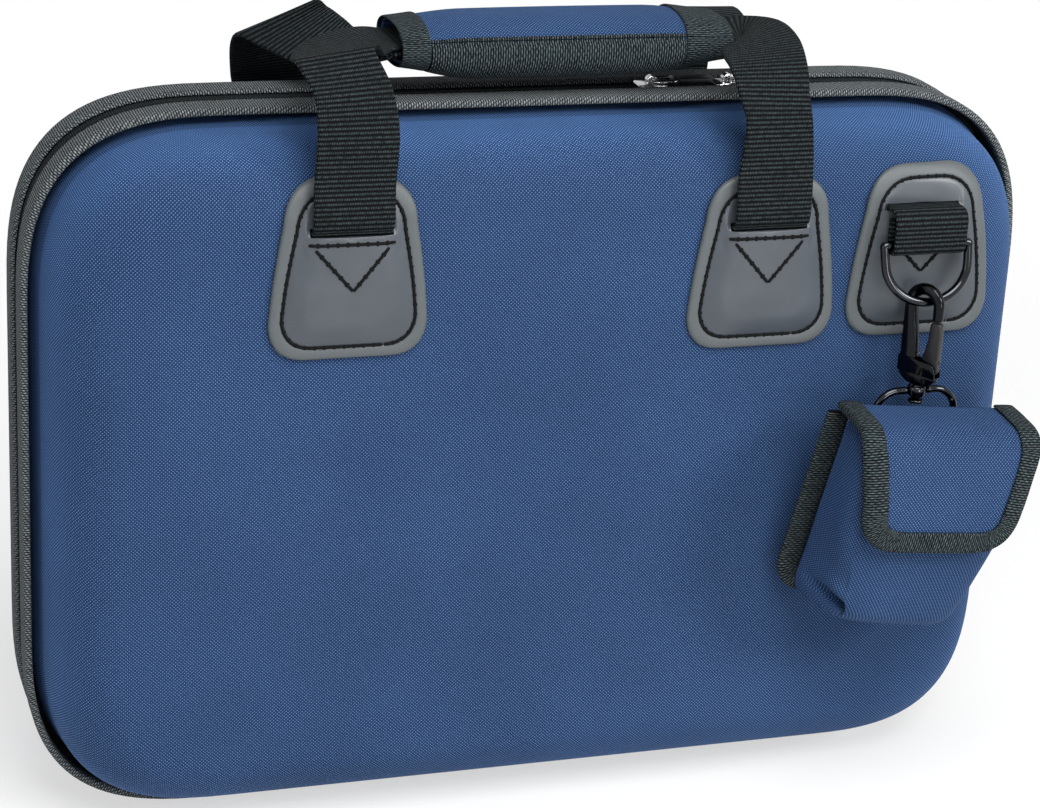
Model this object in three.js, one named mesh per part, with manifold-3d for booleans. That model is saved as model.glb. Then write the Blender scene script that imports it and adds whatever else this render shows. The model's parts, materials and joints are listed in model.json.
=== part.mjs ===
// A soft moulded clarinet case, standing on its hinge side with the zip closed.
// Two fabric-covered moulded shells meet at a bound zip. Each has two webbing handle ends
// in stitched patches, and one padded wrap holds the two handles together. A small pouch
// hangs by a snap hook from a D-ring on the lid.
// Millimetres. X runs along the case to the right, Y goes back from the lid to the base,
// Z is up. The origin is on the flat hinge strip that the case stands on, at its middle.
import * as THREE from "three";
import { mergeVertices } from "three/addons/utils/BufferGeometryUtils.js";
import Module from "manifold-3d";

const wasm = await Module();
wasm.setup();

// Driving dimensions: the case
const caseWidth = 326;
const caseHeight = 229;
const halfDepth = 43.3;
const cornerRadius = 62;
const cornerExponentShare = 2.9;
const edgeDepth = 25;
const edgeInset = 22;
const sideDraft = 3.2;
const faceCrown = 0.8;
const shellWall = 2.6;
const clearance = 0.3;
const cutOverrun = 6;

// The band round the seam
const bandHalfWidth = 16;
const bandProud = 2.7;
const rimSetback = 3.2;
const tapeInnerEdge = 0.75;
const tapeThickness = 0.8;
const tapeWidth = 7.2;
const tapeShown = 3.8;
const coilWidth = 1.6;
const coilThickness = 1.4;
const hingeStripReach = 98;
const hingeStripThickness = 2.4;
const tapeEndGap = 1.5;

// Lining and the moulded insert
const liningThickness = 3;
const trayWall = 3;
const recessCorner = 12;
const lowerJointLength = 266;
const lowerJointWidth = 46;
const lowerJointHeight = 137;
const upperJointLength = 240;
const upperJointWidth = 44;
const upperJointHeight = 187;
const jointRecessDepth = 30;
const bellLength = 108;
const bellMouthRadius = 38.8;
const bellNeckRadius = 20;
const bellStart = 27;
const bellHeight = 61;
const mouthpieceLength = 96;
const mouthpieceWidth = 36;
const mouthpieceCentre = -93;
const mouthpieceHeight = 86;
const barrelLength = 68;
const barrelWidth = 36;
const barrelCentre = -90;
const barrelHeight = 40;
const smallRecessDepth = 26;
const binLength = 50;
const binWidth = 74;
const binCentre = -9;
const binHeight = 62;

// Webbing handles, patches and the padded wrap
const webbingWidth = 25;
const webbingThickness = 1.5;
const patchHeight = 56.5;
const patchWidth = 48;
const patchTopWidth = 40;
const patchCornerRadius = 11;
const patchTopRadius = 14;
const patchThickness = 1.4;
const patchRaise = 2;
const patchMargin = 6;
const patchBottom = 161;
const patchSlotRise = 39.5;
const patchSlotHeight = 5;
const patchPocketDepth = 20;
const patchLeftX = -71;
const patchRightX = 63.4;
const ringPatchFromEnd = 45.3;
const rearRingPatchFromEnd = 42;
const patchLeftLift = 2;
const patchRightLift = -2;
const ringPatchLift = -0.7;
const patchBendStep = 6;
const ringShift = 1.8;
const hookShift = 0.4;
const wrapLength = 108;
const wrapCentreX = 5;
const wrapHeightAboveBand = 15;
const wrapDepth = 33;
const wrapTall = 20;
const wrapWall = 3.2;
const wrapRoundShare = 2.4;
const wrapBindingWidth = 11.5;
const wrapBindingThickness = 0.9;
const fastenerThickness = 0.5;
const flapThickness = 1;
const tongueThickness = 0.7;
const webbingStack = 2.2;

// D-rings, snap hook and its swivel loop
const ringWire = 3;
const ringInside = 26;
const ringDrop = 21;
const ringBarDrop = 7;
const ringStand = 3.8;
const ringFlatShare = 0.22;
const ringRoundShare = 0.9;
const ringLean = 4.6;
const rearRingLean = -1.8;
const hookWidth = 14.5;
const hookBar = 4.05;
const hookThickness = 3.4;
const hookTop = 6.4;
const hookLength = 34;
const hookBlockHeight = 8;
const hookFootShare = 0.7;
const hookGateLength = 14;
const hookYaw = 60;
const gateSwing = 20;
const gateRoomShares = [0, 0.4, 0.8, 1.2];
const gatePinRadius = 0.8;
const gateSpringThickness = 0.5;
const rivetRadius = 1.5;
const rivetHeadRadius = 2.5;
const rivetHeadHeight = 1.3;
const rivetLength = 5;
const swivelHubRadius = 3;
const swivelHubHeight = 3.2;
const swivelInside = 25.4;
const swivelDrop = 15;
const swivelCorner = 7.5;
const swivelFootCorner = 3;
const swivelWire = 2.4;

// The pouch
const pouchTop = 10;
const pouchHeight = 66;
const pouchHalfWidth = 30;
const pouchDepth = 28;
const pouchWall = 1.6;
const pouchLean = 8;
const pouchRoll = 9.5;
const pouchSidePower = 4.5;
const pouchFlapDrop = 35;
const pouchFlapHalfTop = 31;
const pouchFlapHalfFoot = 27.5;
const pouchFlapThickness = 1.5;
const pouchFlapCorner = 13;
const pouchFlapGap = 2.9;
const pouchFoldShare = 0.1;
const pouchBinding = 7;
const pouchBindingThickness = 0.8;
const pouchEdgeThickness = 2;
const pouchEdgeProud = 2.4;
const pouchTabWidth = 21;
const pouchTabLength = 18;
const pouchFastenerWidth = 22;
const pouchFastenerHeight = 5;
const pouchFastenerRise = 1.2;
const pouchFastenerThickness = 0.65;

// Zip sliders and pulls
const sliderLength = 10;
const sliderWidth = 7.6;
const sliderPlate = 1.1;
const sliderLeftX = 38;
const sliderRightX = 64;
const sliderPost = 0.9;
const sliderPostLength = 1.8;
const bridgeWidth = 2.2;
const bridgeThickness = 0.9;
const pullWire = 1.1;
const pullLoopLength = 8;
const pullLoopWidth = 6;
const tabLength = 13;
const tabWidth = 5.2;
const tabNeck = 4;
const tabNeckThickness = 2.4;
const tabThickness = 1.4;

// Counts
const cornerSteps = 7;
const edgeSteps = 4;
const wireSides = 8;
const wireSteps = 14;
const strapSteps = 3;
const strapTensionShare = 0.5;
const wrapSides = 28;
const pouchSides = 24;

// Angles round the wrap's section, in radians up from its front
const wrapHingeAngle = Math.PI - 0.55;
const wrapFrontAngle = 0.3;
const flapFrontAngle = 0.38;
const tongueAngle = 0.42;
const tongueTipAngle = 1.1;
const fastenerAngles = [0.62, 1.02];

// Places worked out from the sizes above
const centreZ = caseHeight / 2 + bandProud;
const topZ = caseHeight + 2 * bandProud;
const tapeTop = clearance + tapeThickness;
const wrapZ = topZ + wrapHeightAboveBand;
const wrapLeftX = wrapCentreX - wrapLength / 2;
const wrapRightX = wrapCentreX + wrapLength / 2;
const ringPatchX = caseWidth / 2 - ringPatchFromEnd;
const rearRingPatchX = rearRingPatchFromEnd - caseWidth / 2;
const slotZ = patchBottom + patchSlotRise;
const patchFaceY = halfDepth + faceCrown / 2 + clearance;
const patchFrontY = patchFaceY + patchThickness;
const patchRaisedY = patchFrontY + patchRaise;

// Colours, roughness and metalness
const finish = (color, roughness, metalness = 0) => ({ color, roughness, metalness });
const finishes = {
  cloth: finish(0x2b4a7d, 0.85),
  webbing: finish(0x1c1f20, 0.9),
  leather: finish(0x3a3f42, 0.42),
  plush: finish(0x17181a, 0.95),
  gunmetal: finish(0x3c3f44, 0.3, 0.9),
  nickel: finish(0xb9bcc0, 0.25, 1),
  plastic: finish(0x151618, 0.5),
};

const root = new THREE.Group();

function addMesh(name, geometry, kind) {
  const mesh = new THREE.Mesh(geometry, new THREE.MeshStandardMaterial(finishes[kind]));
  mesh.name = name;
  root.add(mesh);
  return mesh;
}

// Closed surface through rings of points. Each ring has as many points as the next.
function skin(rings, closed = false, firstTip = null, lastTip = null) {
  const count = rings[0].length;
  const points = rings.flat();
  const faces = [];
  const last = closed ? rings.length : rings.length - 1;
  for (let i = 0; i < last; i++) {
    const a = i * count;
    const b = ((i + 1) % rings.length) * count;
    for (let j = 0; j < count; j++) {
      const k = (j + 1) % count;
      faces.push([a + j, b + j, b + k], [a + j, b + k, a + k]);
    }
  }
  if (!closed) {
    const middle = (ring) =>
      ring.reduce((sum, p) => sum.add(p), new THREE.Vector3()).divideScalar(ring.length);
    const start = points.push(firstTip ?? middle(rings[0])) - 1;
    const end = points.push(lastTip ?? middle(rings[rings.length - 1])) - 1;
    const tail = (rings.length - 1) * count;
    for (let j = 0; j < count; j++) {
      const k = (j + 1) % count;
      faces.push([start, j, k], [end, tail + k, tail + j]);
    }
  }
  let volume = 0;
  for (const [a, b, c] of faces)
    volume += points[a].dot(new THREE.Vector3().crossVectors(points[b], points[c]));
  const order = volume > 0 ? faces : faces.map(([a, b, c]) => [a, c, b]);
  const geometry = new THREE.BufferGeometry();
  geometry.setAttribute(
    "position",
    new THREE.Float32BufferAttribute(points.flatMap((p) => [p.x, p.y, p.z]), 3),
  );
  geometry.setIndex(order.flat());
  return geometry;
}

function toSolid(geometry) {
  const bare = geometry.clone();
  bare.deleteAttribute("normal");
  bare.deleteAttribute("uv");
  const merged = mergeVertices(bare);
  return new wasm.Manifold(
    new wasm.Mesh({
      numProp: 3,
      vertProperties: new Float32Array(merged.attributes.position.array),
      triVerts: new Uint32Array(merged.index.array),
    }),
  );
}

function fromSolid(solid) {
  const mesh = solid.getMesh();
  const geometry = new THREE.BufferGeometry();
  const kept = new Float32Array(mesh.numVert * 3);
  for (let i = 0; i < mesh.numVert; i++)
    kept.set(mesh.vertProperties.subarray(i * mesh.numProp, i * mesh.numProp + 3), i * 3);
  geometry.setAttribute("position", new THREE.BufferAttribute(kept, 3));
  geometry.setIndex(new THREE.BufferAttribute(mesh.triVerts, 1));
  return geometry;
}

const point = (x, y, z) => new THREE.Vector3(x, y, z);

function box(x0, x1, y0, y1, z0, z1) {
  const geometry = new THREE.BoxGeometry(
    Math.abs(x1 - x0),
    Math.abs(y1 - y0),
    Math.abs(z1 - z0),
  );
  return geometry.translate((x0 + x1) / 2, (y0 + y1) / 2, (z0 + z1) / 2);
}

// A flat outline in X and Z, given depth along Y from y0 to y1.
function plate(shape, y0, y1, segments = 5) {
  const geometry = new THREE.ExtrudeGeometry(shape, {
    depth: Math.abs(y1 - y0),
    bevelEnabled: false,
    curveSegments: segments,
  });
  geometry.rotateX(Math.PI / 2);
  return geometry.translate(0, Math.max(y0, y1), 0);
}

// Directions round the rim: four superellipse corners, in order, as corner sign and unit reach.
const rim = [];
for (const [sx, sz, turn] of [[1, 1, 1], [-1, 1, -1], [-1, -1, 1], [1, -1, -1]])
  for (let i = 0; i <= cornerSteps; i++) {
    const share = turn > 0 ? i / cornerSteps : 1 - i / cornerSteps;
    const angle = (share * Math.PI) / 2;
    const power = 2 / cornerExponentShare;
    rim.push([sx, sz, Math.cos(angle) ** power, Math.sin(angle) ** power]);
  }

// A point at the rim's direction i, out from the shell's rim by out, at depth y.
function rimPoint([sx, sz, ux, uz], out, y) {
  const reach = cornerRadius + out;
  return point(
    sx * (caseWidth / 2 - cornerRadius + reach * ux),
    y,
    centreZ + sz * (caseHeight / 2 - cornerRadius + reach * uz),
  );
}
const rimLoop = (out, y) => rim.map((r) => rimPoint(r, out, y));

// The moulded dish: rings from the rim at depth y0 to the face, all drawn in by inset.
function dishRings(side, inset, y0, extra = 0) {
  const rings = [rimLoop(-inset - extra, side * y0)];
  const straight = halfDepth - edgeDepth;
  if (y0 < bandHalfWidth) {
    const drafted = inset + extra + sideDraft * (bandHalfWidth / straight);
    rings.push(rimLoop(-drafted, side * bandHalfWidth));
  }
  for (let i = 0; i <= edgeSteps; i++) {
    const angle = (i / edgeSteps) * (Math.PI / 2);
    const drawn =
      extra + sideDraft + edgeInset * (1 - Math.cos(angle)) + inset * Math.cos(angle);
    const depth = straight + (edgeDepth - inset) * Math.sin(angle);
    rings.push(rimLoop(-drawn, side * depth));
  }
  return rings;
}
const faceTip = (side, inset) => point(0, side * (halfDepth + faceCrown - inset), centreZ);

function shell(name, side) {
  const outer = dishRings(side, 0, rimSetback);
  const inner = dishRings(side, shellWall, rimSetback);
  const rings = [...outer.reverse(), ...inner];
  addMesh(name, skin(rings, false, faceTip(side, 0), faceTip(side, shellWall)), "cloth");
}

function lidLining() {
  const outside = shellWall + clearance;
  const inside = outside + liningThickness;
  const outer = dishRings(-1, outside, rimSetback);
  const inner = dishRings(-1, inside, rimSetback);
  const rings = [...outer.reverse(), ...inner];
  addMesh("lid_lining", skin(rings, false, faceTip(-1, outside), faceTip(-1, inside)), "plush");
}

// A rounded outline in X and Z about a centre.
function roundedOutline(cx, cz, width, height, radius) {
  const shape = new THREE.Shape();
  const [x0, x1, z0, z1] = [cx - width / 2, cx + width / 2, cz - height / 2, cz + height / 2];
  shape.moveTo(x0 + radius, z0);
  shape.lineTo(x1 - radius, z0);
  shape.absarc(x1 - radius, z0 + radius, radius, -Math.PI / 2, 0);
  shape.lineTo(x1, z1 - radius);
  shape.absarc(x1 - radius, z1 - radius, radius, 0, Math.PI / 2);
  shape.lineTo(x0 + radius, z1);
  shape.absarc(x0 + radius, z1 - radius, radius, Math.PI / 2, Math.PI);
  shape.lineTo(x0, z0 + radius);
  shape.absarc(x0 + radius, z0 + radius, radius, Math.PI, 1.5 * Math.PI);
  return shape;
}

// The moulded tray: a deck with pockets for the joints, bell, mouthpiece, barrel and a bin.
function baseInsert() {
  const outside = shellWall + clearance;
  const rings = dishRings(1, outside, rimSetback);
  const dish = toSolid(skin(rings, false, point(0, rimSetback, centreZ), faceTip(1, outside)));
  const inner = dishRings(1, outside, rimSetback + trayWall, trayWall);
  inner.push(inner[inner.length - 1].map((p) => point(p.x, halfDepth + cutOverrun, p.z)));
  let hollow = toSolid(skin(inner));
  const recesses = [
    [0, lowerJointHeight, lowerJointLength, lowerJointWidth, jointRecessDepth],
    [0, upperJointHeight, upperJointLength, upperJointWidth, jointRecessDepth],
    [mouthpieceCentre, mouthpieceHeight, mouthpieceLength, mouthpieceWidth, smallRecessDepth],
    [barrelCentre, barrelHeight, barrelLength, barrelWidth, smallRecessDepth],
    [binCentre, binHeight, binLength, binWidth, jointRecessDepth],
  ];
  const pocket = ([cx, cz, length, width, depth], grow) => {
    const corner = recessCorner + grow;
    const outline = roundedOutline(cx, cz, length + 2 * grow, width + 2 * grow, corner);
    const start = grow ? rimSetback : rimSetback - cutOverrun;
    return toSolid(plate(outline, start, rimSetback + depth + grow));
  };
  const bell = (grow) =>
    toSolid(
      new THREE.CylinderGeometry(
        bellMouthRadius + grow,
        bellNeckRadius + grow,
        bellLength + 2 * grow,
        wrapSides,
      )
        .rotateZ(-Math.PI / 2)
        .translate(bellStart + bellLength / 2, 0, bellHeight),
    );
  const bellRoom = Math.min(trayWall, halfDepth - outside - bellMouthRadius);
  hollow = hollow.subtract(bell(bellRoom));
  for (const recess of recesses) hollow = hollow.subtract(pocket(recess, trayWall));
  let solid = dish.subtract(hollow).subtract(bell(0));
  for (const recess of recesses) solid = solid.subtract(pocket(recess, 0));
  addMesh("base_insert", fromSolid(solid), "plush");
}

// The bound edge, whose section steps over the zip tape.
function binding(name, side) {
  const tapeEdge = tapeInnerEdge + tapeWidth + clearance;
  const bare = tapeInnerEdge + tapeShown;
  const section = [
    [clearance, bandHalfWidth],
    [bandProud, bandHalfWidth],
    [bandProud, bare],
    [tapeTop + clearance, bare],
    [tapeTop + clearance, tapeEdge],
    [clearance, tapeEdge],
  ];
  const rings = rim.map((r) => section.map(([out, y]) => rimPoint(r, out, side * y)));
  addMesh(name, skin(rings, true), "webbing");
}

// The way the zip runs: up one side, over the top and down the other, to the hinge strip's ends.
function zipStations() {
  const corner = caseWidth / 2 - cornerRadius;
  const bottom = rim.filter(([, sz]) => sz < 0);
  const left = bottom.filter(([sx]) => sx < 0);
  const right = bottom.filter(([sx]) => sx > 0);
  const upper = rim.filter(([, sz]) => sz > 0);
  const end = (hingeStripReach + tapeEndGap - corner) / cornerRadius;
  return [
    [1, -1, end, 1],
    ...right,
    ...upper,
    ...left,
    [-1, -1, end, 1],
  ];
}

function zipStrip(name, side, low, high, near, far, kind) {
  const stations = zipStations();
  const rings = stations.map((r) => [
    rimPoint(r, low, side * near),
    rimPoint(r, high, side * near),
    rimPoint(r, high, side * far),
    rimPoint(r, low, side * far),
  ]);
  addMesh(name, skin(rings), kind);
}

function zipHalf(owner, side) {
  const tapeFar = tapeInnerEdge + tapeWidth;
  zipStrip(`${owner}_zipper_tape`, side, clearance, tapeTop, tapeInnerEdge, tapeFar, "webbing");
  const coilFar = tapeInnerEdge + coilWidth;
  zipStrip(`${owner}_zipper_coil`, side, -coilThickness, 0, tapeInnerEdge, coilFar, "plastic");
}

function hingeStrip() {
  const reach = tapeInnerEdge + tapeShown - clearance;
  const strip = box(-hingeStripReach, hingeStripReach, -reach, reach, 0, hingeStripThickness);
  addMesh("hinge_strip", strip, "webbing");
}

// A stitched patch: wider at its foot, with rounded corners.
function patchOutline(cx, bottom, shrink) {
  const halfLow = patchWidth / 2 - shrink;
  const halfTop = patchTopWidth / 2 - shrink;
  const low = bottom + shrink;
  const top = bottom + patchHeight - shrink;
  const lowCorner = patchCornerRadius - shrink / 2;
  const topCorner = patchTopRadius - shrink / 2;
  const shape = new THREE.Shape();
  shape.moveTo(cx - halfLow + lowCorner, low);
  shape.lineTo(cx + halfLow - lowCorner, low);
  shape.quadraticCurveTo(cx + halfLow, low, cx + halfLow, low + lowCorner);
  shape.lineTo(cx + halfTop, top - topCorner);
  shape.quadraticCurveTo(cx + halfTop, top, cx + halfTop - topCorner, top);
  shape.lineTo(cx - halfTop + topCorner, top);
  shape.quadraticCurveTo(cx - halfTop, top, cx - halfTop, top - topCorner);
  shape.lineTo(cx - halfLow, low + lowCorner);
  shape.quadraticCurveTo(cx - halfLow, low, cx - halfLow + lowCorner, low);
  return shape;
}

// How far the dish's outside lies behind the face's edge at a place in X and Z.
function faceFall(x, z) {
  const beyondX = Math.max(Math.abs(x) - caseWidth / 2 + cornerRadius, 0);
  const beyondZ = Math.max(Math.abs(z - centreZ) - caseHeight / 2 + cornerRadius, 0);
  const power = cornerExponentShare;
  const drawn = cornerRadius - (beyondX ** power + beyondZ ** power) ** (1 / power);
  const cosine = 1 - (drawn - sideDraft) / edgeInset;
  if (cosine <= 0) return 0;
  return edgeDepth * (1 - Math.sqrt(1 - Math.min(cosine, 1) ** 2));
}

// A patch with a raised middle over a pocket for the webbing's sewn end, and its slot. Its top
// bends back with the dish, and its slot can lie off its middle by shift.
function patch(name, side, cx, lift, shift = 0) {
  const bottom = patchBottom + lift;
  const slot = slotZ + lift;
  const flat = plate(patchOutline(cx, bottom, 0), side * patchFaceY, side * patchFrontY);
  const raisedShape = roundedOutline(
    cx,
    (bottom + patchMargin + slot) / 2,
    patchWidth - 2 * patchMargin,
    slot - bottom - patchMargin,
    patchMargin,
  );
  const raised = plate(raisedShape, side * patchFaceY, side * patchRaisedY);
  let solid = toSolid(flat).add(toSolid(raised));
  const half = webbingWidth / 2 + clearance;
  const slotX = cx - shift;
  const pocketY = patchFaceY + webbingThickness + 2 * clearance;
  const pocket = box(
    slotX - half, slotX + half,
    side * (patchFaceY - cutOverrun), side * pocketY,
    slot - patchPocketDepth, slot + patchSlotHeight,
  );
  const window = box(
    slotX - half, slotX + half,
    side * (patchFaceY - cutOverrun), side * (patchRaisedY + cutOverrun),
    slot - clearance, slot + patchSlotHeight,
  );
  solid = solid.subtract(toSolid(pocket)).subtract(toSolid(window));
  solid = solid.refineToLength(patchBendStep).warp((v) => {
    v[1] -= side * faceFall(v[0], v[2]);
  });
  addMesh(name, fromSolid(solid), "leather");
}

// Handle stations between the patch and the wrap, as shares: across in webbing widths towards
// the wrap, out in half depths, and up in the rise from slot to wrap; inner edge, then outer.
const frontLeftShares = [
  [0.5, 1.115, 0.34, -0.5, 1.115, 0.34],
  [0.53, 1.1, 0.67, -0.47, 1.1, 0.67],
  [0.46, 1.02, 0.94, -0.5, 1.04, 0.91],
  [0.3, 0.88, 1.15, -0.66, 0.88, 1.08],
  [0.42, 0.76, 1.15, -0.62, 0.62, 1.05],
  [0.52, 0.62, 1.08, -0.4, 0.32, 1.06],
  [0.62, 0.46, 1.03, 0.04, 0.05, 1.08],
  [0.76, 0.35, 1.03, 0.52, -0.14, 1.07],
];
const frontRightShares = [
  [0.5, 1.11, 0.34, -0.5, 1.11, 0.34],
  [0.43, 1.08, 0.66, -0.46, 1.08, 0.66],
  [0.52, 1.02, 0.85, -0.42, 1.03, 0.83],
  [0.56, 0.87, 0.98, -0.46, 0.88, 1],
  [0.52, 0.62, 1.02, -0.56, 0.55, 1.09],
  [0.37, 0.5, 1.02, -0.54, 0.18, 1.12],
  [0.04, 0.36, 1.01, -0.26, -0.16, 1.08],
];
const rearLeftShares = [
  [0.38, 1.1, 0.34, -0.62, 1.1, 0.34],
  [0.2, 0.92, 0.65, -0.78, 0.92, 0.61],
  [0.1, 0.4, 1.18, -0.82, 0.72, 0.9],
  [0.26, 0.39, 1.16, -0.56, 0.4, 0.89],
  [0.46, 0.37, 1.08, -0.26, 0.08, 0.87],
  [0.68, 0.34, 0.98, 0.34, -0.18, 0.9],
];
const rearRightShares = [
  [0.5, 1.11, 0.34, -0.5, 1.11, 0.34],
  [0.5, 1.04, 0.66, -0.5, 1.04, 0.66],
  [0.5, 0.88, 0.89, -0.5, 0.88, 0.89],
  [0.5, 0.65, 1.04, -0.5, 0.62, 1.04],
  [0.38, 0.49, 1.05, -0.48, 0.28, 1.0],
  [0.08, 0.36, 0.95, -0.26, -0.16, 0.93],
];

// One handle end as pairs of edge points, from the end sewn in the patch up to the wrap.
function legStations(side, patchX, lift, towards, shares, runZ) {
  const slot = slotZ + lift;
  const rise = wrapZ - slot;
  const half = webbingWidth / 2;
  const sewnY = patchFaceY + webbingThickness / 2 + clearance;
  const outY = patchRaisedY + webbingThickness;
  const pair = (y, z) => [
    point(patchX + towards * half, side * y, z),
    point(patchX - towards * half, side * y, z),
  ];
  const stations = [
    pair(sewnY, slot - patchPocketDepth + clearance),
    pair(sewnY, slot - webbingThickness),
    pair((sewnY + outY) / 2, slot + webbingThickness),
    pair(outY, slot + patchSlotHeight),
  ];
  for (const [ix, iy, iz, ox, oy, oz] of shares)
    stations.push([
      point(patchX + towards * ix * webbingWidth, side * iy * halfDepth, slot + iz * rise),
      point(patchX + towards * ox * webbingWidth, side * oy * halfDepth, slot + oz * rise),
    ]);
  const endX = towards > 0 ? wrapLeftX : wrapRightX;
  for (const step of [0, wrapWall])
    stations.push([
      point(endX + towards * step, side * half, wrapZ + runZ),
      point(endX + towards * step, -side * half, wrapZ + runZ),
    ]);
  return stations;
}

// A flat ribbon between two edge curves, with the webbing's thickness.
function ribbon(stations, steps) {
  const through = (k) => stations.map((station) => station[k]);
  const curves = [0, 1].map(
    (k) => new THREE.CatmullRomCurve3(through(k), false, "catmullrom", strapTensionShare),
  );
  const count = (stations.length - 1) * steps;
  const edges = [];
  for (let i = 0; i <= count; i++) edges.push(curves.map((c) => c.getPoint(i / count)));
  const rings = edges.map(([a, b], i) => {
    const before = edges[Math.max(i - 1, 0)];
    const after = edges[Math.min(i + 1, count)];
    const along = point(0, 0, 0);
    for (const k of [0, 1]) along.add(after[k]).sub(before[k]);
    const normal = new THREE.Vector3().crossVectors(b.clone().sub(a), along).normalize();
    normal.multiplyScalar(webbingThickness / 2);
    const sum = (p) => p.clone().add(normal);
    const difference = (p) => p.clone().sub(normal);
    return [sum(a), sum(b), difference(b), difference(a)];
  });
  return skin(rings);
}

function strap(name, side, leftShares, rightShares, runZ) {
  const left = legStations(side, patchLeftX, patchLeftLift, 1, leftShares, runZ);
  const right = legStations(side, patchRightX, patchRightLift, -1, rightShares, runZ);
  addMesh(name, ribbon([...left, ...right.reverse()], strapSteps), "webbing");
}

// A point of the wrap's flattened round section, grown by grow, at an angle from the front.
function wrapSection(angle, grow) {
  const power = 2 / wrapRoundShare;
  const soft = (v) => Math.sign(v) * Math.abs(v) ** power;
  return [
    -(wrapDepth / 2 + grow) * soft(Math.cos(angle)),
    wrapZ + (wrapTall / 2 + grow) * soft(Math.sin(angle)),
  ];
}

// A curved panel of the wrap over a list of angles, from x0 to x1. Its inner and outer faces
// stand at a growth that may depend on the angle.
function wrapPanel(angles, x0, x1, inner, outer) {
  const growth = (value, angle) => (typeof value === "function" ? value(angle) : value);
  const rings = [x0, x1].map((x) => {
    const place = (angle, value) => {
      const [y, z] = wrapSection(angle, growth(value, angle));
      return point(x, y, z);
    };
    const front = angles.map((angle) => place(angle, outer));
    const back = [...angles].reverse().map((angle) => place(angle, inner));
    return [...front, ...back];
  });
  return thickPanel(rings, angles.length - 1);
}

// Angles from one to another in even steps, no wider than the section's own sides.
function spread(from, to) {
  const steps = Math.max(1, Math.ceil((Math.abs(to - from) / (2 * Math.PI)) * wrapSides));
  return Array.from({ length: steps + 1 }, (_, i) => from + ((to - from) * i) / steps);
}

// Closes two rings of a bent panel with quads between its inner and outer rows.
function thickPanel([first, last], steps) {
  const count = first.length;
  const points = [...first, ...last];
  const faces = [];
  for (let j = 0; j < count; j++) {
    const k = (j + 1) % count;
    faces.push([j, j + count, k + count], [j, k + count, k]);
  }
  for (let i = 0; i < steps; i++) {
    const [a, b, c, d] = [i, i + 1, count - 2 - i, count - 1 - i];
    faces.push([a, b, c], [a, c, d]);
    faces.push([a + count, c + count, b + count], [a + count, d + count, c + count]);
  }
  let volume = 0;
  for (const [a, b, c] of faces)
    volume += points[a].dot(new THREE.Vector3().crossVectors(points[b], points[c]));
  const order = volume > 0 ? faces : faces.map(([a, b, c]) => [a, c, b]);
  const geometry = new THREE.BufferGeometry();
  geometry.setAttribute(
    "position",
    new THREE.Float32BufferAttribute(points.flatMap((p) => [p.x, p.y, p.z]), 3),
  );
  geometry.setIndex(order.flat());
  return geometry;
}

// The wrap: a lower panel under and behind the webbing, whose tongue carries a hook strip
// under the flap that closes over the top.
const wrapCut = wrapBindingThickness + clearance;
const angleGap = (2 * clearance) / wrapDepth;
const flapInner = -wrapCut - flapThickness;
const loopInner = flapInner - clearance - fastenerThickness;
const hookInner = loopInner - clearance - fastenerThickness;
const tongueOuter = hookInner - clearance;

function wrapBindings(owner, angles, frontAngles) {
  const outer = 0;
  const inner = -wrapBindingThickness;
  const leftEnd = wrapLeftX + wrapBindingWidth;
  const rightEnd = wrapRightX - wrapBindingWidth;
  const strips = [
    ["left", angles, wrapLeftX, leftEnd],
    ["right", angles, rightEnd, wrapRightX],
    ["edge", frontAngles, leftEnd + clearance, rightEnd - clearance],
  ];
  for (const [name, span, x0, x1] of strips)
    addMesh(`${owner}_binding_${name}`, wrapPanel(span, x0, x1, inner, outer), "webbing");
}

function handleWrap() {
  const low = -(2 * Math.PI - wrapHingeAngle) + angleGap;
  const body = spread(low, wrapFrontAngle);
  const tongue = spread(tongueAngle, tongueTipAngle);
  const onTongue = (angle) => angle > (wrapFrontAngle + tongueAngle) / 2;
  const panel = wrapPanel(
    [...body, ...tongue],
    wrapLeftX,
    wrapRightX,
    (angle) => (onTongue(angle) ? tongueOuter - tongueThickness : -wrapWall),
    (angle) => (onTongue(angle) ? tongueOuter : -wrapCut),
  );
  addMesh("wrap_panel", panel, "cloth");
  const edge = spread(wrapFrontAngle - (2 * wrapBindingWidth) / wrapDepth, wrapFrontAngle);
  wrapBindings("wrap", body, edge);
  const [from, to] = fastenerAngles;
  const x0 = wrapLeftX + wrapBindingWidth;
  const x1 = wrapRightX - wrapBindingWidth;
  const hooks = wrapPanel(spread(from, to), x0, x1, hookInner, hookInner + fastenerThickness);
  addMesh("wrap_fastener", hooks, "plastic");
  const loops = wrapPanel(spread(from, to), x0, x1, loopInner, loopInner + fastenerThickness);
  addMesh("flap_fastener", loops, "plush");
  const cover = spread(flapFrontAngle, wrapHingeAngle - angleGap);
  addMesh("wrap_flap", wrapPanel(cover, wrapLeftX, wrapRightX, flapInner, -wrapCut), "cloth");
  const lip = spread(flapFrontAngle, flapFrontAngle + wrapBindingWidth / (2 * wrapDepth));
  wrapBindings("flap", cover, lip);
}

// A round wire along a closed line in one plane. ahead is the plane's normal.
function closedWire(line, normal, radius) {
  const count = line.length;
  const rings = line.map((p, i) => {
    const along = line[(i + 1) % count].clone().sub(line[(i + count - 1) % count]).normalize();
    const across = new THREE.Vector3().crossVectors(along, normal).normalize();
    const ring = [];
    for (let s = 0; s < wireSides; s++) {
      const angle = (s / wireSides) * 2 * Math.PI;
      const offset = across.clone().multiplyScalar(Math.cos(angle) * radius);
      offset.addScaledVector(normal, Math.sin(angle) * radius);
      ring.push(p.clone().add(offset));
    }
    return ring;
  });
  return skin(rings, true);
}

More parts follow.
